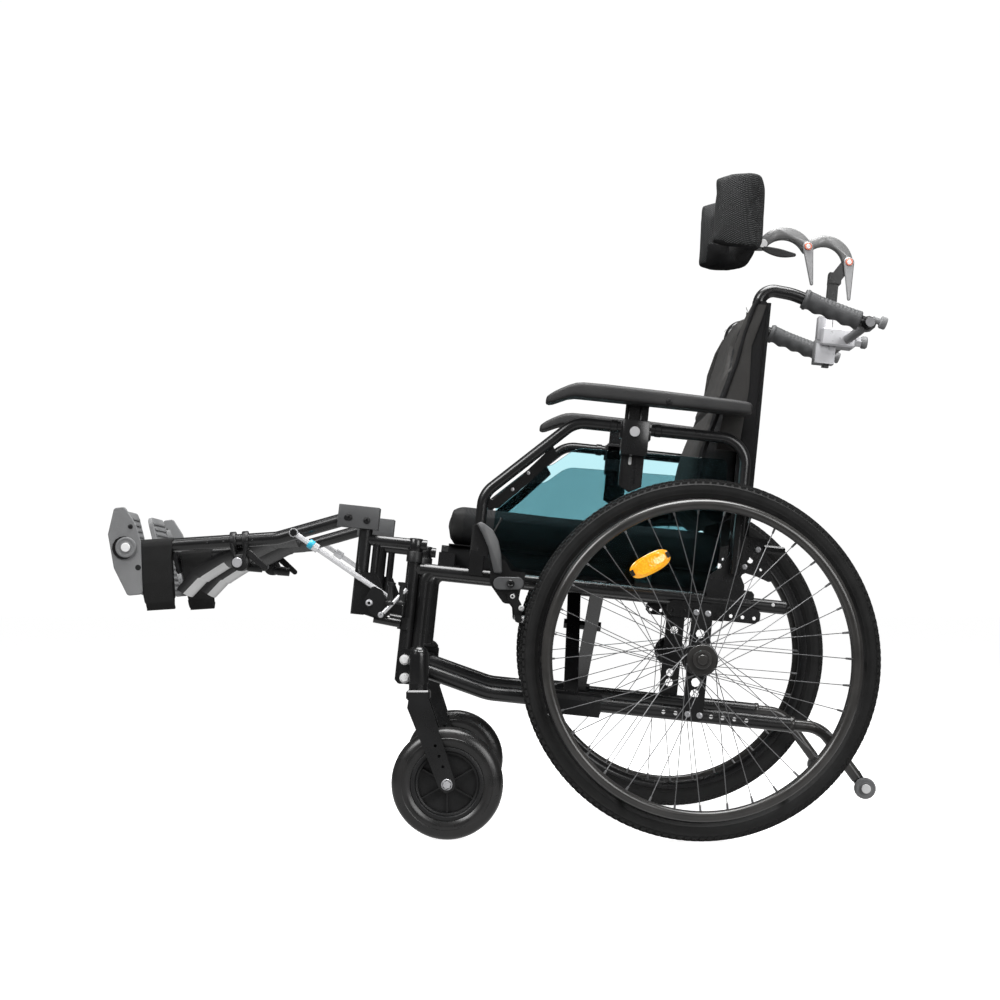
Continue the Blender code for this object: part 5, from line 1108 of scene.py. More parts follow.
def leg_fittings():
    """The clevis screws, the lock's lever and spools, and the small holes."""
    screws = Shape()
    for spot in ((-0.3132, 0.5164), (-0.2823, 0.5138)):
        screws.screw(spot, 0.2430, 0.0062)
    make_pair(screws, "clevis_screws", "hanger", "dark")
    clevis = Shape().block((0.2386, -0.3325, 0.4995), (0.2432, -0.2622, 0.5378), 0.0010)
    clevis.block((0.2068, -0.3325, 0.4995), (0.2114, -0.2622, 0.5378), 0.0010)
    clevis.block((0.2075, -0.3320, 0.5335), (0.2425, -0.2626, 0.5376), 0.0008)
    make_pair(clevis, "clevis_skin", "hanger", "slate", SLOPED, 30)
    lock = Shape().screw((-0.2621, 0.3741), 0.2586, 0.0062)
    lock.screw((-0.2400, 0.3560), 0.2606, 0.0052)
    make_pair(lock, "lock_screws", "hanger", "zinc")
    lever = Shape().tube(flat(((-0.2360, 0.3600), (-0.2010, 0.4045)), 0.2605), 0.0036, 14)
    make_pair(lever, "release_lever", "hanger", "chrome")
    spools = Shape()
    spool = [(0.0003, -0.020), (0.0074, -0.020), (0.0076, -0.016), (0.0048, -0.013),
             (0.0046, 0.011), (0.0074, 0.014), (0.0076, 0.018), (0.0003, 0.0185)]
    for place in ((0.2612, -0.2275, 0.3949), (0.2605, -0.2088, 0.3968)):
        spools.turned(spool, place, UPWARD, 20, False)
    make_pair(spools, "release_spools", "hanger", "dark")
    # Dark discs painted over the leg tube's small holes: painted shade inside them.
    hole_shades = Shape()
    for spot in ((-0.5517, 0.4468), (-0.5242, 0.4515), (-0.4747, 0.4590)):
        hole_shades.across(spot, 0.2350, 0.23695, 0.0023, 14)
    make_pair(hole_shades, "leg_holes", "leg", "dark")


def foot_fittings():
    """The casting beside the foot hinge, its round disc with the pin, and its screws."""
    outline = ((-0.6980, 0.4940), (-0.7160, 0.4900), (-0.7212, 0.4440), (-0.7045, 0.3876),
               (-0.6755, 0.3430), (-0.6503, 0.3482), (-0.6640, 0.4376), (-0.6760, 0.4667))
    side = Shape().plate(bends(outline, 0.006, 5, True), 0.2360, 0.2423, 0.0012)
    make_pair(side, "foot_side", "leg", "grey")
    hinge = (-0.6875, 0.4249)
    disc = [(0.0003, 0.0), (0.0172, 0.0), (0.0178, 0.0012), (0.0178, 0.0040), (0.0166, 0.0052),
            (0.0142, 0.0054), (0.0134, 0.0046), (0.0100, 0.0046), (0.0094, 0.0054), (0.0003, 0.0056)]
    disc = Shape().turned(disc, (0.2416, *hinge), ACROSS, 48, False)
    make_pair(disc, "foot_disc", "leg", "grey")
    make_pair(Shape().across(hinge, 0.2450, 0.2484, 0.0078, 28), "foot_pin", "leg", "white")
    marks = Shape().screw((-0.6843, 0.4613), 0.2424, 0.0042)
    marks.across((-0.6631, 0.3929), 0.2410, 0.2428, 0.0050, 20)
    make_pair(marks, "foot_screws", "leg", "dark")


# Back and seat

BACK_MIDDLE = 0.781     # the crease between the back cushion's two fields
BACK_REAR = 0.3668      # how far back the cushion may reach between the canes
CANE_FRONT = 0.3405     # and how far beside them
PANEL_HALF = 0.2155
SEAT_LOW = 0.4925
SEAT_HIGH = 0.5560
SEAT_FRONT = -0.1420
SEAT_LENGTH = 0.4745
SHEET = ((-0.196, -0.1400, 0.4892), (0.196, 0.3310, 0.4910))    # two corners of the seat's sling


def cushion_front(up):
    """How far forward the back cushion reaches at a height."""
    places = ((0.585, 0.276), (0.620, 0.275), (0.700, 0.2860), (0.727, 0.2930), (0.7565, 0.3010),
              (0.7865, 0.3080), (0.832, 0.3200), (0.856, 0.3265), (0.905, 0.3345), (0.955, 0.3470),
              (0.977, 0.3580))
    for (low, start), (high, end) in zip(places, places[1:]):
        if up <= high:
            return start + (end - start) * (up - low) / (high - low)
    return places[-1][1]


def back_form():
    """The back cushion before it is filled: a crowned pad between the canes."""
    low, high = 0.570, 0.974
    rings = []
    steps = 26
    for i in range(steps + 1):
        share = i / steps
        up = low + (high - low) * share
        end = min(1.0, 0.35 + 9 * min(share, 1 - share))
        front = cushion_front(up) + 0.003
        rear = 0.3640
        middle = (front + rear) / 2
        half = (rear - front) / 2 * end
        ring = []
        for x, along in soft_box(0.2165 - 0.004 * math.sin(math.pi * share), half, 6.0, 56):
            ring.append((x, min(middle + along, rear if abs(x) < 0.150 else 0.3390), up))
        rings.append(ring)
    return Shape().skin(rings)


def shape_back(spot):
    """Press the crease and the folds into the cushion's front, and keep it off the canes."""
    rear = BACK_REAR if abs(spot.x) < 0.146 else CANE_FRONT
    channel = 0.0075 * math.exp(-((spot.z - BACK_MIDDLE) / 0.0075) ** 2)
    front = 1.0 if spot.y < 0.330 else 0.0
    crease = 0.0016 * noise.noise(Vector((spot.x * 14, spot.y * 10, spot.z * 26)))
    return Vector((0, min(channel * front + crease * front, rear - spot.y), 0))


def back_cover(spot, normal):
    """Smooth panels in front and on the sides' front edges, knit behind."""
    if abs(normal.x) < 0.55:
        return 0 if normal.y < 0.5 else 1
    return 0 if spot.y < cushion_front(spot.z) - 0.006 else 1


def back_panel():
    """The sling behind the cushion, bowed out between the canes."""
    rings = []
    for i in range(25):
        x = -1 + i / 12
        front = []
        rear = []
        for j in range(17):
            up = 0.548 + 0.417 * j / 16
            out = 0.0085 * (1 - x ** 4) * math.sin(math.pi * (0.15 + 0.7 * j / 16))
            front.append((PANEL_HALF * x, 0.3678, up))
            rear.append((PANEL_HALF * x, 0.3745 + out, up))
        rings.append(front + rear[::-1])
    return Shape().skin(rings)


def cane_cover():
    """The sling's sleeve round a cane."""
    rings = []
    for k in range(31):
        up = 0.562 + 0.404 * k / 30
        shrink = 0.90 if k in (0, 30) else 1.0 + 0.02 * math.sin(k * 1.9)
        rings.append([(0.2080 + wide, 0.3552 + deep, up)
                      for wide, deep in soft_box(0.0132 * shrink, 0.0136 * shrink, 4, 28)])
    return Shape().skin(rings)


def gusset():
    """The creased strip of cover between the cushion's side and the cane."""
    rings = []
    spots = ((0.700, 0.303, 0.342), (0.810, 0.314, 0.350), (0.885, 0.318, 0.347), (0.930, 0.329, 0.359),
             (0.965, 0.344, 0.367))
    for (low, *first), (high, *last) in zip(spots, spots[1:]):
        for k in range(6):
            share = k / 6
            up = low + (high - low) * share
            front = first[0] + (last[0] - first[0]) * share
            rear = first[1] + (last[1] - first[1]) * share
            ring = []
            for wide, deep in soft_box((rear - front) / 2, 0.0022, 4, 14):
                crease = 0.0008 * math.sin(37 * share + 60 * (wide + low))
                ring.append((0.2222 + deep + crease, (front + rear) / 2 + wide, up))
            rings.append(ring)
    return Shape().skin(rings)


def welt():
    """The cord sewn along the cushion's front edge."""
    ups = [0.596 + 0.0124 * k for k in range(31)]
    return Shape().tube([(0.2232, min(0.352, cushion_front(up) - 0.002), up) for up in ups], 0.0036, 10)


def push_grip():
    """A moulded grip: ribs along the top, finger grooves below and a flange at the mouth."""
    start, end = flat((HANDLE_BEND, HANDLE_END), CANE_X)
    ahead = (end - start).normalized()
    side = Vector(ACROSS)
    up = side.cross(ahead)
    rings = []
    count = 60
    for i in range(count + 1):
        share = i / count
        middle = start + ahead * (0.0215 + 0.1050 * share)
        base = 0.0172 - 0.0012 * math.sin(math.pi * share)
        if share < 0.02 or share > 0.985:
            base -= 0.0016
        if share < 0.07:
            base += 0.0014
        groove = 0.0016 * math.cos(share * 2 * math.pi * 4) if 0.06 < share < 0.94 else 0.0
        rib = 0.0009 * (0.5 + 0.5 * math.cos(share * 2 * math.pi * 15)) if 0.20 < share < 0.92 else 0.0
        ring = []
        for k in range(32):
            angle = 2 * math.pi * k / 32
            height = math.sin(angle)
            radius = base + groove * min(1.0, max(0.0, -height - 0.2) * 2)
            radius -= rib * min(1.0, max(0.0, height - 0.25) * 3)
            ring.append(middle + side * (radius * math.cos(angle)) + up * (radius * height))
        rings.append(ring)
    return Shape().skin(rings)


def seat_form():
    """The seat cushion before it is filled."""
    rings = []
    steps = 30
    for i in range(steps + 1):
        share = i / steps
        along = SEAT_FRONT + SEAT_LENGTH * share
        end = min(1.0, 0.93 + 8 * min(share, 1 - share))
        half = (SEAT_HIGH - SEAT_LOW) / 2 * end
        ring = []
        for x, up in soft_box(0.202 - 0.004 * math.sin(math.pi * share), half, 6.0, 56):
            ring.append((x, along, (SEAT_LOW + SEAT_HIGH) / 2 + up))
        rings.append(ring)
    return Shape().skin(rings)


def shape_seat(spot):
    """Crease the seat cushion's top, and lay its underside flat on the sling."""
    floor = max(0.0, 0.4919 - spot.z)
    crease = 0.0014 * noise.noise(Vector((spot.x * 12, spot.y * 12, spot.z * 30)))
    return Vector((0, 0, floor + (crease if spot.z > 0.52 else 0.0)))


def seat_cover(spot, normal):
    return 0 if normal.y < -0.5 or spot.y < -0.118 else 1


def seat_sleeves():
    """The sling's two sleeves round the seat rails, with their hems."""
    front, rear = SHEET[0][1], SHEET[1][1]
    sleeves = Shape()
    for sign in (-1, 1):
        sleeves.tube([(sign * 0.178, front, 0.4766), (sign * 0.178, rear, 0.4766)], 0.0128, 24)
        hem = sorted((sign * 0.1885, sign * 0.1915))
        sleeves.block((hem[0], -0.1385, 0.4540), (hem[1], 0.3300, 0.4790), 0.0006)
    return sleeves


# Headrest

HEAD_PIVOTS = ((0.535, 1.090), (0.457, 1.111), (0.374, 1.109))      # from the rear to the pad


def headrest_form():
    """The padded U of the headrest before it is filled."""
    corner = 0.114
    path = [Vector((x, along, 0)) for x, along in
            ((corner, 0.267), (corner, 0.345), (-corner, 0.345), (-corner, 0.267))]
    path = bends(path, [0, 0.045, 0.045, 0], 10)
    fine = []
    for start, end in zip(path, path[1:]):
        pieces = max(1, round((end - start).length / 0.008))
        fine += [start.lerp(end, k / pieces) for k in range(pieces)]
    fine.append(path[-1])
    rings = []
    last = len(fine) - 1
    for i, point in enumerate(fine):
        ahead = (fine[min(i + 1, last)] - fine[max(i - 1, 0)]).normalized()
        side = Vector((-ahead.y, ahead.x, 0))
        forward = min(1.0, max(0.0, (0.343 - point.y) / 0.07))
        low = 1.077 - 0.003 * min(1.0, forward * 3)
        high = 1.221 - 0.0195 * forward
        distance = min(i, last - i) / 3.0
        end = min(1.0, 0.93 + 0.07 * distance)
        thick = 0.0140 * min(1.0, 0.6 + 0.4 * distance)
        ring = []
        for wide, up in soft_box(thick, (high - low) / 2 * end, 7.0, 40):
            height = (low + high) / 2 + up
            ring.append(point + side * wide + Vector((0, (1.08 - height) * 0.045, height)))
        rings.append(ring)
    return Shape().skin(rings)


def headrest_cover(spot, normal):
    """Knit all round, smooth nylon below and inside the U."""
    inner = abs(spot.x) < 0.104 and 0.283 < spot.y < 0.334 and spot.z < 1.120
    return 1 if normal.z < -0.4 or inner else 0


def headrest_arms():
    """The lug on the pad, the rear arm and the two cheeks of the front arm."""
    first, second, third = HEAD_PIVOTS
    lug = Shape().plate(capsule((0.352, third[1]), third, 0.012, 0.0100), -0.0088, 0.0088, 0.002)
    make(lug, "head_lug", "headrest_pad", "arm")
    outline = bow(first, (0.500, 1.127), second, 0.0095, 0.0098, 0.0095)
    rear = Shape().plate(outline, -0.0090, 0.0090, 0.002)
    make(rear, "head_arm_rear", "headrest_arm_rear", "arm", SLOPED, 50, "headrest_arm_rear")
    outline = bow(second, (0.412, 1.134), third, 0.0090, 0.0100, 0.0090)
    front = Shape().plate(outline, -0.0134, -0.0094, 0.0012).plate(outline, 0.0094, 0.0134, 0.0012)
    front.block((-0.0100, 0.402, 1.124), (0.0100, 0.424, 1.139), 0.001)
    make(front, "head_arm_front", "headrest_arm_front", "arm", SLOPED, 50,
         "headrest_arm_front")


def headrest_clamps():
    """A lever and a coral button at each rear pivot, and a disc and a dark lever at the front one."""
    first, second, third = HEAD_PIVOTS
    for name, body, spot, tip in (("rear", "headrest_post", first, (0.541, 1.022)),
                                  ("middle", "headrest_arm_front", second, (0.470, 1.043))):
        lever = Shape().plate(capsule(spot, tip, 0.0098, 0.0030), 0.0140, 0.0195, 0.0016)
        make(lever, "clamp_lever_" + name, body, "lever")
        button = Shape().across(spot, 0.0190, 0.0225, 0.0068, 28)
        button.across(spot, 0.0215, 0.0230, 0.0042, 28, 1)
        make(button, "clamp_button_" + name, body, "button white")
    disc = Shape().across(third, 0.0138, 0.0170, 0.0080, 28)
    make(disc, "front_disc", "headrest_arm_front", "white")
    leaf = bow((0.3780, 1.0995), (0.4045, 1.0945), (0.4330, 1.0935), 0.0050, 0.0078, 0.0035)
    lever = Shape().plate(leaf, 0.0140, 0.0180, 0.0014)
    make(lever, "front_lever", "headrest_arm_front", "dark")


def headrest_bar():
    """The cross tube between the push handles, its post clamp, its ends and its three knobs."""
    body = "headrest_crossbar"
    knob = [(0.0003, 0.0), (0.0060, 0.0), (0.0064, 0.004), (0.0064, 0.012), (0.0105, 0.013),
            (0.0118, 0.015), (0.0118, 0.022), (0.0100, 0.024), (0.0003, 0.0245)]
    make(Shape().turned(knob, (0.0, 0.561, 0.947), ALONG, 10, False), "bar_knob", body, "grey")
    bar = Shape().tube([(-0.2335, *HANDLE_END), (0.2335, *HANDLE_END)], 0.0084, 24)
    make(bar, "bar_sleeve", body, "steel")
    post = Shape().block((-0.0125, 0.4905, 0.9420), (0.0125, 0.5160, 0.9860), 0.0010)
    make(post, "post_silver", body, "zinc", SLOPED, 30)
    foot = Shape().block((-0.0120, 0.4880, 0.8975), (0.0120, 0.5070, 0.9420), 0.0010)
    make(foot, "post_foot", body, "grey", SLOPED, 30)
    end = [(0.0003, 0.0), (0.0090, 0.0), (0.0098, 0.001), (0.0098, 0.008), (0.0086, 0.0095),
           (0.0003, 0.0098)]
    knob = [(0.0003, 0.0), (0.0058, 0.0), (0.0058, 0.0130), (0.0094, 0.0135), (0.0112, 0.0150),
            (0.0112, 0.0230), (0.0098, 0.0250), (0.0003, 0.0255)]
    for sign, side in ((1, "_left"), (-1, "_right")):
        tip = Shape().turned(end, (sign * 0.2225, *HANDLE_END), (sign, 0, 0), 24, False)
        make(tip, "bar_end" + side, body, "coat")
        turned = Shape().turned(knob, (sign * 0.2270, 0.5500, 0.9530), (0, 0.97, -0.24), 12, False)
        make(turned, "bar_knob" + side, body, "grey")


# Soft pieces

CLOTH_FRAMES = 20
CLOTH_STIFFNESS = 12
CLOTH_BEND = 0.4


def swell(piece, pressure):
    """Run a piece as weightless cloth under pressure from inside."""
    group = piece.vertex_groups.new(name="hold")
    for vert in piece.data.vertices:
        group.add([vert.index], 0.0, "REPLACE")
    cloth = piece.modifiers.new("cloth", "CLOTH")
    cloth.settings.use_pressure = True
    cloth.settings.uniform_pressure_force = pressure
    cloth.settings.effector_weights.gravity = 0
    cloth.settings.tension_stiffness = CLOTH_STIFFNESS
    cloth.settings.compression_stiffness = CLOTH_STIFFNESS
    cloth.settings.bending_stiffness = CLOTH_BEND
    cloth.settings.vertex_group_mass = "hold"
    cloth.point_cache.frame_start = 1
    cloth.point_cache.frame_end = CLOTH_FRAMES
    scene = bpy.context.scene
    for step in range(1, CLOTH_FRAMES + 1):
        scene.frame_set(step)
    apply_modifiers(piece)
    scene.frame_set(1)
    piece.vertex_groups.clear()


def fill_with_air(piece, voxel, pressure, limit, calm):
    """Swell a soft piece of even faces, cap how far a point moves, and smooth it."""
    remesh = piece.modifiers.new("even", "REMESH")
    remesh.mode = "VOXEL"
    remesh.voxel_size = voxel
    apply_modifiers(piece)
    rest = [vert.co.copy() for vert in piece.data.vertices]
    swell(piece, pressure)
    for vert, start in zip(piece.data.vertices, rest):
        moved = vert.co - start
        if moved.length > limit:
            vert.co = start + moved.normalized() * limit
    smooth = piece.modifiers.new("calm", "SMOOTH")
    smooth.factor = 0.5
    smooth.iterations = calm
    apply_modifiers(piece)


def apply_modifiers(piece):
    view = bpy.context.evaluated_depsgraph_get()
    mesh = bpy.data.meshes.new_from_object(piece.evaluated_get(view))
    piece.modifiers.clear()
    piece.data = mesh


def subdivide(piece):
    step = piece.modifiers.new("fine", "SUBSURF")
    step.levels = 1
    step.render_levels = 1
    apply_modifiers(piece)


def soft_piece(shape, name, voxel, pressure, limit, calm=4):
    """A filled piece made from its flat form."""
    piece = finish_mesh(shape, name, SLOPED, False, [], 60)
    shape.bm.free()
    fill_with_air(piece, voxel, pressure, limit, calm)
    subdivide(piece)
    return piece


def carve(piece, move):
    """Move each point of a soft piece by a function of its place in the sloping space."""
    back = SLOPED.inverted()
    for vert in piece.data.vertices:
        spot = back @ vert.co
        vert.co = SLOPED @ (spot + move(spot))


def cover(piece, finishes, choose):
    """Give each face the finish that choose picks for its place and its direction."""
    piece.data.materials.clear()
    for finish in finishes.split():
        piece.data.materials.append(FINISHES[finish])
    back = SLOPED.inverted()
    turn = back.to_3x3()
    for face in piece.data.polygons:
        face.material_index = choose(back @ face.center, turn @ face.normal)
    piece.data.shade_smooth()


def hang_soft(piece, body, stands_for):
    """Hang a filled piece on its body in place of its solid."""
    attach(piece, body)
    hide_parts(stands_for)


# Settings

class ChairLooks(bpy.types.PropertyGroup):
    """Colours and sizes of the chair that a user would change."""

    frame_colour: bpy.props.FloatVectorProperty(
        name="Frame colour", description="Colour of the powder coat", subtype="COLOR", size=3,
        min=0.0, max=1.0, default=(0.0060, 0.0060, 0.0063))
    panel_colour: bpy.props.FloatVectorProperty(
        name="Panel colour", description="Colour of the cushions' smooth panels", subtype="COLOR",
        size=3, min=0.0, max=1.0, default=(0.030, 0.029, 0.028))
    soft_voxel: bpy.props.FloatProperty(
        name="Cushion grain", description="Size of the cushions' faces before they are filled",
        subtype="DISTANCE", unit="LENGTH", min=0.003, max=0.010, default=0.0055)


class StageLooks(bpy.types.PropertyGroup):
    """The camera and the studio."""

    distance: bpy.props.FloatProperty(
        name="Camera distance", description="From the chair's middle plane to the camera",
        subtype="DISTANCE", unit="LENGTH", min=1.0, max=10.0, default=3.465)
    height: bpy.props.FloatProperty(
        name="Camera height", description="Height of the camera above the floor",
        subtype="DISTANCE", unit="LENGTH", min=0.0, max=3.0, default=0.396)
    lens: bpy.props.FloatProperty(
        name="Focal length", description="The lens, in millimetres", min=20.0, max=200.0, default=67.75)
    floor_colour: bpy.props.FloatVectorProperty(
        name="Floor colour", description="Colour of the studio floor", subtype="COLOR", size=3,
        min=0.0, max=1.0, default=(0.60, 0.60, 0.60))
    floor_glow: bpy.props.FloatProperty(
        name="Floor glow", description="Light given off by the floor, which keeps it white",
        min=0.0, max=2.0, default=0.92)


# Operators

class MakeFinishes(bpy.types.Operator):
    """Make the materials, and dress the solids that stay in view."""

    bl_idname = "wheelchair.finishes"
    bl_label = "Finishes"

    def execute(self, context):
        make_finishes(context.scene.chair_looks)
        dress("side_frame axle_plate caster_housing caster_fork hanger leg_tube back_cane anti_tipper "
              "cross_bar headrest_post brake_arm", "coat")
        dress("strut_rod", "chrome")
        dress("headrest_crossbar", "zinc")
        return {"FINISHED"}


class MakeRearWheels(bpy.types.Operator):
    """Rims, hubs, spokes, tyres with their tread, handrims and reflectors."""

    bl_idname = "wheelchair.rear_wheels"
    bl_label = "Rear wheels"

    def execute(self, context):
        body = "rear_wheel"
        make_pair(rear_rim(), "rim", body, "coat", LEVEL, 30, "rear_wheel")
        make_pair(rear_hub(), "hub", body, "coat gunmetal", LEVEL, 30)
        make_pair(rear_spokes(), "spokes", body, "steel", LEVEL)
        make_pair(rear_tyre(), "tyre", body, "tyre", LEVEL, 30, "rear_tyre")
        make_pair(tyre_tread(), "tread", body, "tyre", LEVEL, 20)
        make_pair(handrim(), "push_hoop", body, "gunmetal", LEVEL, 40, "handrim")
        for side, turn in REFLECTOR_TURNS.items():
            make(wheel_reflector(turn), "reflector", body, "reflector dark", LEVEL, 40, "",
                 (side,))
        return {"FINISHED"}


class MakeCasters(bpy.types.Operator):
    """The small front wheels and their bolts."""

    bl_idname = "wheelchair.casters"
    bl_label = "Casters"

    def execute(self, context):
        make_pair(caster_tyre(), "small_tyre", "caster_wheel", "caster", LEVEL, 30,
                  "caster_tyre")
        make_pair(caster_rim(), "small_rim", "caster_wheel", "dark", LEVEL, 30,
                  "caster_rim")
        make_pair(caster_bolts(), "caster_bolts", "caster_fork", "zinc", LEVEL, 30)
        make_pair(caster_cup(), "caster_cup", "frame", "coat", LEVEL, 30)
        make_pair(plate_bolts(), "plate_bolts", "frame", "white", LEVEL, 30)
        return {"FINISHED"}


class MakeFrames(bpy.types.Operator):
    """Round sleeves over the flat-sided tubes, with collars and bolts."""

    bl_idname = "wheelchair.frames"
    bl_label = "Frames"

    def execute(self, context):
        make_pair(side_frame_tubes(), "frame_sleeve", "frame", "coat")
        make_pair(side_frame_fittings(), "frame_collars", "frame", "dark")
        make_pair(bolts_of_frame(), "frame_bolts", "frame", "zinc")
        # The white frame holes are painted backdrop light seen through the bores.
        make_pair(holes_of_frame(), "frame_holes", "frame", "white")
        make_pair(armrest_hoop(), "armrest_hoop", "armrest", "coat", SLOPED, 40,
                  "armrest_frame")
        make_pair(hanger_tubes(), "hanger_tubes", "hanger", "coat")
        make_pair(leg_sleeve(), "leg_sleeve", "leg", "coat")
        make_pair(cane_sleeve(), "cane_sleeve", "back", "coat")
        # The anti-tipper's tube gets the lighter gunmetal coat, not the frame's black: a painted highlight
        # standing in for the glare on it.
        make_pair(tipper_sleeve(), "tipper_sleeve", "anti_tipper", "gunmetal")
        return {"FINISHED"}


class MakeArmrests(bpy.types.Operator):
    """Pads, side guards with their strips, clamps and screws."""

    bl_idname = "wheelchair.armrests"
    bl_label = "Armrests"

    def execute(self, context):
        make_pair(armrest_pad(), "arm_pad", "armrest_post", "pad", SLOPED, 60,
                  "armrest_pad")
        screw = Shape().screw((0.2095, 0.7669), 0.2842, 0.0056)
        make_pair(screw, "pad_screw", "armrest_post", "dark")
        make_pair(armrest_clamp(), "arm_clamp", "armrest", "coat", SLOPED, 30)
        button = Shape().across(CLAMP_BUTTON, 0.2622, 0.2652, 0.0088, 36)
        make_pair(button, "arm_button", "armrest", "chrome")
        make_pair(post_cover(), "post_bar", "armrest_post", "coat", SLOPED, 40,
                  "armrest_post")
        # The slot is a white mark painted on the bar: painted light from the backdrop seen through it.
        slot = capsule((0.1563, 0.6593), (0.1563, 0.6683), 0.0026, 0.0025)
        slot = Shape().plate(slot, 0.2364, 0.2369, 0.0001)
        make_pair(slot, "post_slot", "armrest_post", "white")
        make_pair(side_guard(), "tinted_guard", "armrest", "guard", SLOPED, 40, "side_guard")
        make_pair(guard_strip(), "guard_strip", "armrest", "coat")
        screws = Shape()
        for spot in ((-0.0394, 0.5936), (-0.0152, 0.6247)):
            screws.screw(spot, 0.2312, 0.0032)
        make_pair(screws, "guard_screws", "armrest", "zinc")
        return {"FINISHED"}


class MakeBrakes(bpy.types.Operator):
    """The brake levers' moulded handles, links and rollers."""

    bl_idname = "wheelchair.brakes"
    bl_label = "Brakes"

    def execute(self, context):
        blade = ((-0.0941, 0.5278), (-0.0834, 0.5125), (-0.0708, 0.4899), (-0.0617, 0.4635),
                 (-0.0560, 0.4470), (-0.0420, 0.4470), (-0.0470, 0.4786), (-0.0541, 0.5019),
                 (-0.0654, 0.5195), (-0.0798, 0.5285), (-0.0875, 0.5310))
        lever = Shape().plate(bends(blade, 0.004, 4, True), 0.2603, 0.2692, 0.0022)
        make_pair(lever, "brake_handle", "brake_lever", "slate", SLOPED, 50,
                  "brake_lever")
        spine = ((-0.0975, 0.5250), (-0.0905, 0.5290), (-0.0800, 0.5125), (-0.0700, 0.4899),
                 (-0.0680, 0.4740), (-0.0830, 0.4740), (-0.0880, 0.4900), (-0.0950, 0.5100))
        rod = Shape().plate(bends(spine, 0.003, 3, True), 0.2574, 0.2606, 0.0006)
        rod.tube(flat(((-0.0640, 0.5150), (-0.0530, 0.5397)), 0.2640), 0.0017, 12)
        rod.tube(flat(((-0.0536, 0.5385), (-0.0524, 0.5412)), 0.2640), 0.0032, 12)
        make_pair(rod, "brake_spine", "brake_lever", "coat")
        plate = capsule((-0.0449, 0.4303), (-0.0144, 0.4334), 0.0108, 0.0107)
        plate = Shape().plate(plate, 0.2672, 0.2700, 0.0010)
        make_pair(plate, "brake_cover", "frame", "slate")
        ring = [(0.0030, 0.0), (0.0030, 0.0068), (0.0040, 0.0074), (0.0058, 0.0074), (0.0066, 0.0066),
                (0.0066, 0.0)]
        ring = Shape().turned(ring, (0.2698, -0.0262, 0.4314), ACROSS, 28)
        make_pair(ring, "brake_ring", "frame", "coat")
        bolts = Shape().screw((-0.0209, 0.4108), 0.2668, 0.0046)
        bolts.screw((-0.0036, 0.3922), 0.2668, 0.0050)
        bolts.block((0.2600, -0.0110, 0.3680), (0.2690, 0.0106, 0.3780), 0.0010)
        make_pair(bolts, "brake_bolts", "brake_arm", "white")
        return {"FINISHED"}


class MakeLegrests(bpy.types.Operator):
    """Calf pads and their clamps, heel straps, footplates and fittings."""

    bl_idname = "wheelchair.legrests"
    bl_label = "Legrests"

    def execute(self, context):
        # The calf shell's white second finish is painted light from the floor.
        make_pair(calf_shell(), "calf_shell", "calf_pad", "dark white", SLOPED, 60,
                  "calf_pad")
        make_pair(calf_loops(), "calf_clamp", "calf_pad", "dark", SLOPED, 50)
        self.add_calf_mounts()
        make_pair(footplate(), "foot_board", "footplate", "grey", FOOT, 40, "footplate")
        shape, length = heel_loop()
        for strap in make_pair(shape, "heel_strap", "leg", "webbing", SLOPED, 60):
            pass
        leg_fittings()
        foot_fittings()
        ring = both_faces([(0.0049, 0.0048), (0.0072, 0.0048), (0.0080, 0.0036)])
        clip = Shape().turned(ring, STRUT_PIVOT + STRUT_AHEAD * 0.036, STRUT_AHEAD, 28)
        make(clip, "strut_clip", "strut_left", "cyan")
        return {"FINISHED"}

    def add_calf_mounts(self):
        """The arm that carries the calf pad below the leg tube, its block and its knob."""
        middle = along_leg(CALF_SHARE)[0]
        along, up = middle.y, middle.z
        arm = Shape().tube([(x, along - 0.004, up - 0.036) for x in (0.150, FRAME_X)], 0.006)
        arm.across((along + 0.002, up - 0.038), 0.2405, 0.2440, 0.0085, 28)
        make_pair(arm, "calf_arm", "calf_pad", "zinc")
        mount = Shape()
        mount.block((0.118, along - 0.026, up - 0.046), (0.152, along + 0.006, up - 0.022), 0.003)
        knob = flat([(along + reach, up - 0.042) for reach in (0.012, 0.020, 0.042)], 0.210)
        mount.tube(knob, [0.0060, 0.0090, 0.0085])
        link = capsule((-0.4760, 0.4360), (-0.4480, 0.4160), 0.0062, 0.0050)
        mount.plate(link, 0.2330, 0.2380, 0.0012)
        make_pair(mount, "calf_mount", "calf_pad", "dark")


class MakeBack(bpy.types.Operator):
    """The back cushion, the sling behind it with its sleeves, gussets and welts, and the grips."""

    bl_idname = "wheelchair.back"
    bl_label = "Back"

    def execute(self, context):
        voxel = context.scene.chair_looks.soft_voxel
        cushion = soft_piece(back_form(), "back_pad", voxel, 4.0, 0.016)
        carve(cushion, shape_back)
        cover(cushion, "panel fine_knit", back_cover)
        hang_soft(cushion, "back_left", "back_cushion")
        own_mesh(cushion)
        sling, = make(back_panel(), "back_panel", "back_left", "fine_knit", SLOPED, 60,
                      "back_sling")
        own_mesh(sling)
        make_pair(cane_cover(), "cane_cover", "back", "nylon", SLOPED, 60)
        make_pair(gusset(), "gusset", "back", "panel", SLOPED, 60)
        make_pair(welt(), "welt", "back", "nylon")
        make_pair(push_grip(), "grip", "back", "grip", SLOPED, 50, "push_grip")
        return {"FINISHED"}


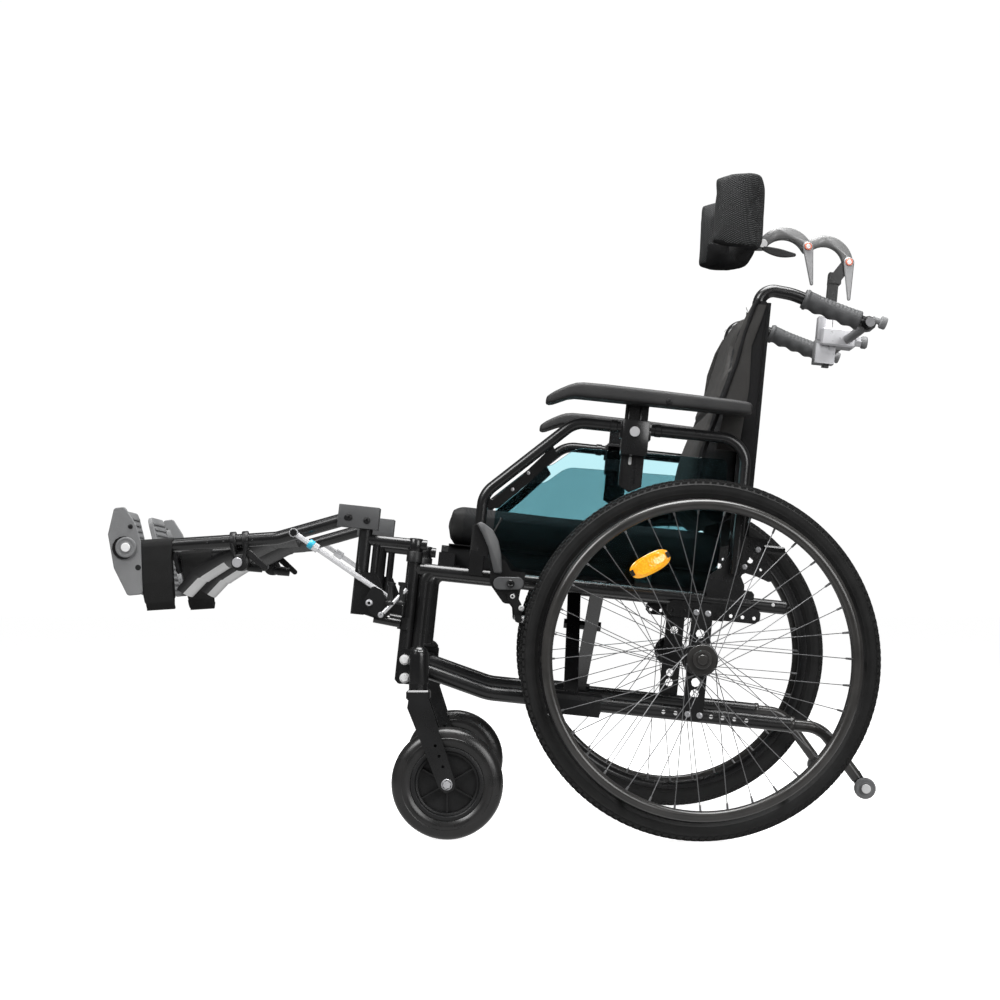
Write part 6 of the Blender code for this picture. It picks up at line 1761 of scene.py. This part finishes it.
class MakeSeat(bpy.types.Operator):
    """The seat cushion and the sling under it."""

    bl_idname = "wheelchair.seat"
    bl_label = "Seat"

    def execute(self, context):
        voxel = context.scene.chair_looks.soft_voxel
        cushion = soft_piece(seat_form(), "seat_pad", voxel, 2.0, 0.0035, 1)
        carve(cushion, shape_seat)
        cover(cushion, "seat_front fine_knit", seat_cover)
        hang_soft(cushion, "seat", "seat_cushion")
        sheet = Shape().block(*SHEET, 0.0004)
        sheet, = make(sheet, "seat_sheet", "seat", "nylon", SLOPED, 40, "seat_sling")
        sleeves, = make(seat_sleeves(), "seat_sleeves", "seat", "nylon")
        for piece in (cushion, sheet, sleeves):
            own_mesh(piece)
        return {"FINISHED"}


class MakeHeadrest(bpy.types.Operator):
    """The headrest's pad, curved arms, clamping levers and buttons."""

    bl_idname = "wheelchair.headrest"
    bl_label = "Headrest"

    def execute(self, context):
        pad = soft_piece(headrest_form(), "head_pad", 0.0045, 4.0, 0.008)
        cover(pad, "knit nylon", headrest_cover)
        hang_soft(pad, "headrest_pad", "headrest_pad")
        headrest_arms()
        headrest_clamps()
        headrest_bar()
        return {"FINISHED"}


class MakeAntiTippers(bpy.types.Operator):
    """The small wheels at the ends of the anti-tippers."""

    bl_idname = "wheelchair.anti_tippers"
    bl_label = "Anti-tippers"

    def execute(self, context):
        half = [(0.0034, 0.0078), (0.0100, 0.0078), (0.0108, 0.0068), (0.0140, 0.0068),
                (0.0150, 0.0076), (0.0170, 0.0068), (0.0180, 0.0040)]
        wheel = Shape().turned(both_faces(half), (0.2445, *TIPPER_END), ACROSS, 48)
        make_pair(wheel, "tipper_roller", "anti_tip_wheel", "grey", SLOPED, 30,
                  "anti_tip_wheel")
        cap = Shape().across(TIPPER_END, 0.2532, 0.2580, 0.0078, 28)
        make_pair(cap, "tipper_cap", "anti_tipper", "white")
        return {"FINISHED"}


FLOOR_LEVEL = -0.0005
FLOOR_HALF = 60.0
HORIZON = 105.0         # pixels from the photograph's middle down to its horizon
FOCAL_PIXELS = 1882.0
SOFT_LIGHT = 0.12       # what the backdrop gives to the chair
BACKDROP = 0.90         # how much brighter the camera sees it
THROUGH_GUARDS = 2.4    # and how much brighter it is seen through the tinted guards
LAMPS = (               # name, place, size in metres and power in watts
    ("key", (2.6, -2.4, 3.2), 1.8, 120.0),
    ("fill", (3.4, 2.4, 1.8), 2.0, 70.0),
    ("top", (0.3, 0.3, 3.4), 2.2, 190.0),
    ("bounce", (0.0, 0.0, 0.0002), 2.6, 10.0),
)


class MakeStage(bpy.types.Operator):
    """A pale floor, soft light and the camera."""

    bl_idname = "wheelchair.stage"
    bl_label = "Stage"

    def execute(self, context):
        looks = context.scene.stage_looks
        self.add_floor(context, looks)
        self.light_world(context)
        for name, place, size, power in LAMPS:
            lamp = bpy.data.lights.new(name, "AREA")
            lamp.size = size
            lamp.energy = power
            holder = self.add_object(context, name, lamp)
            holder.location = place
            aim = Vector((0.0, 0.0, 0.5)) - Vector(place)
            holder.rotation_euler = aim.to_track_quat("-Z", "Y").to_euler()
            holder.visible_camera = False
        camera = bpy.data.cameras.new("camera")
        camera.lens = looks.lens
        camera.sensor_width = 36.0
        holder = self.add_object(context, "camera", camera)
        pitch = math.atan(HORIZON / FOCAL_PIXELS)
        holder.location = (looks.distance, 0.0, looks.height)
        holder.rotation_euler = (math.radians(90) + pitch, 0.0, math.radians(90))
        context.scene.camera = holder
        return {"FINISHED"}

    def add_object(self, context, name, data):
        holder = bpy.data.objects.new(name, data)
        context.scene.collection.objects.link(holder)
        return holder

    def add_floor(self, context, looks):
        """A wide floor that only the camera sees, so that it throws no light up."""
        mesh = bpy.data.meshes.new("floor")
        corners = [(x * FLOOR_HALF, y * FLOOR_HALF, FLOOR_LEVEL)
                   for x, y in ((-1, -1), (1, -1), (1, 1), (-1, 1))]
        mesh.from_pydata(corners, [], [(0, 1, 2, 3)])
        floor = self.add_object(context, "floor", mesh)
        finish = Finish("studio_floor", 0.7, Base_Color=list(looks.floor_colour),
                        Emission_Color=(1.0, 1.0, 1.0), Emission_Strength=looks.floor_glow)
        mesh.materials.append(finish.material)
        floor.visible_diffuse = False
        floor.visible_glossy = False

    def light_world(self, context):
        """A white backdrop that is brighter than the soft light that it gives."""
        world = bpy.data.worlds.new("studio")
        world.use_nodes = True
        nodes = Nodes(world.node_tree)
        shade = nodes.tree.nodes["Background"]
        nodes.join((1.0, 1.0, 1.0), shade.inputs["Color"])
        ray = nodes.node("ShaderNodeLightPath", {}, {})
        seen, passed, bounces = nodes.beside(ray, "Is Camera Ray", "Is Transmission Ray", "Diffuse Depth")
        strength = SOFT_LIGHT + BACKDROP * seen + THROUGH_GUARDS * (passed * (bounces < 0.5))
        nodes.join(strength, shade.inputs["Strength"])
        context.scene.world = world
        context.scene.view_settings.view_transform = "Standard"


class ChairPanel(bpy.types.Panel):
    """Lists the chair's settings and steps in the sidebar."""

    bl_idname = "VIEW3D_PT_wheelchair"
    bl_label = "Wheelchair"
    bl_space_type = "VIEW_3D"
    bl_region_type = "UI"
    bl_category = "Wheelchair"

    def draw(self, context):
        column = self.layout.column()
        for group in (context.scene.chair_looks, context.scene.stage_looks):
            for name in group.__annotations__:
                column.prop(group, name)
        for step in STEPS:
            column.operator(step.bl_idname)


STEPS = (MakeFinishes, MakeRearWheels, MakeCasters, MakeFrames, MakeArmrests, MakeBrakes, MakeLegrests,
         MakeBack, MakeSeat, MakeHeadrest, MakeAntiTippers, MakeStage)
CLASSES = (ChairLooks, StageLooks) + STEPS + (ChairPanel,)


def register():
    for cls in CLASSES:
        bpy.utils.register_class(cls)
    bpy.types.Scene.chair_looks = bpy.props.PointerProperty(type=ChairLooks)
    bpy.types.Scene.stage_looks = bpy.props.PointerProperty(type=StageLooks)


def unregister():
    del bpy.types.Scene.stage_looks
    del bpy.types.Scene.chair_looks
    for cls in reversed(CLASSES):
        bpy.utils.unregister_class(cls)


def main():
    register()
    bpy.ops.wheelchair.finishes()
    bpy.ops.wheelchair.rear_wheels()
    bpy.ops.wheelchair.casters()
    bpy.ops.wheelchair.frames()
    bpy.ops.wheelchair.armrests()
    bpy.ops.wheelchair.brakes()
    bpy.ops.wheelchair.legrests()
    bpy.ops.wheelchair.back()
    bpy.ops.wheelchair.seat()
    bpy.ops.wheelchair.headrest()
    bpy.ops.wheelchair.anti_tippers()
    bpy.ops.wheelchair.stage()


if __name__ == "__main__":
    main()
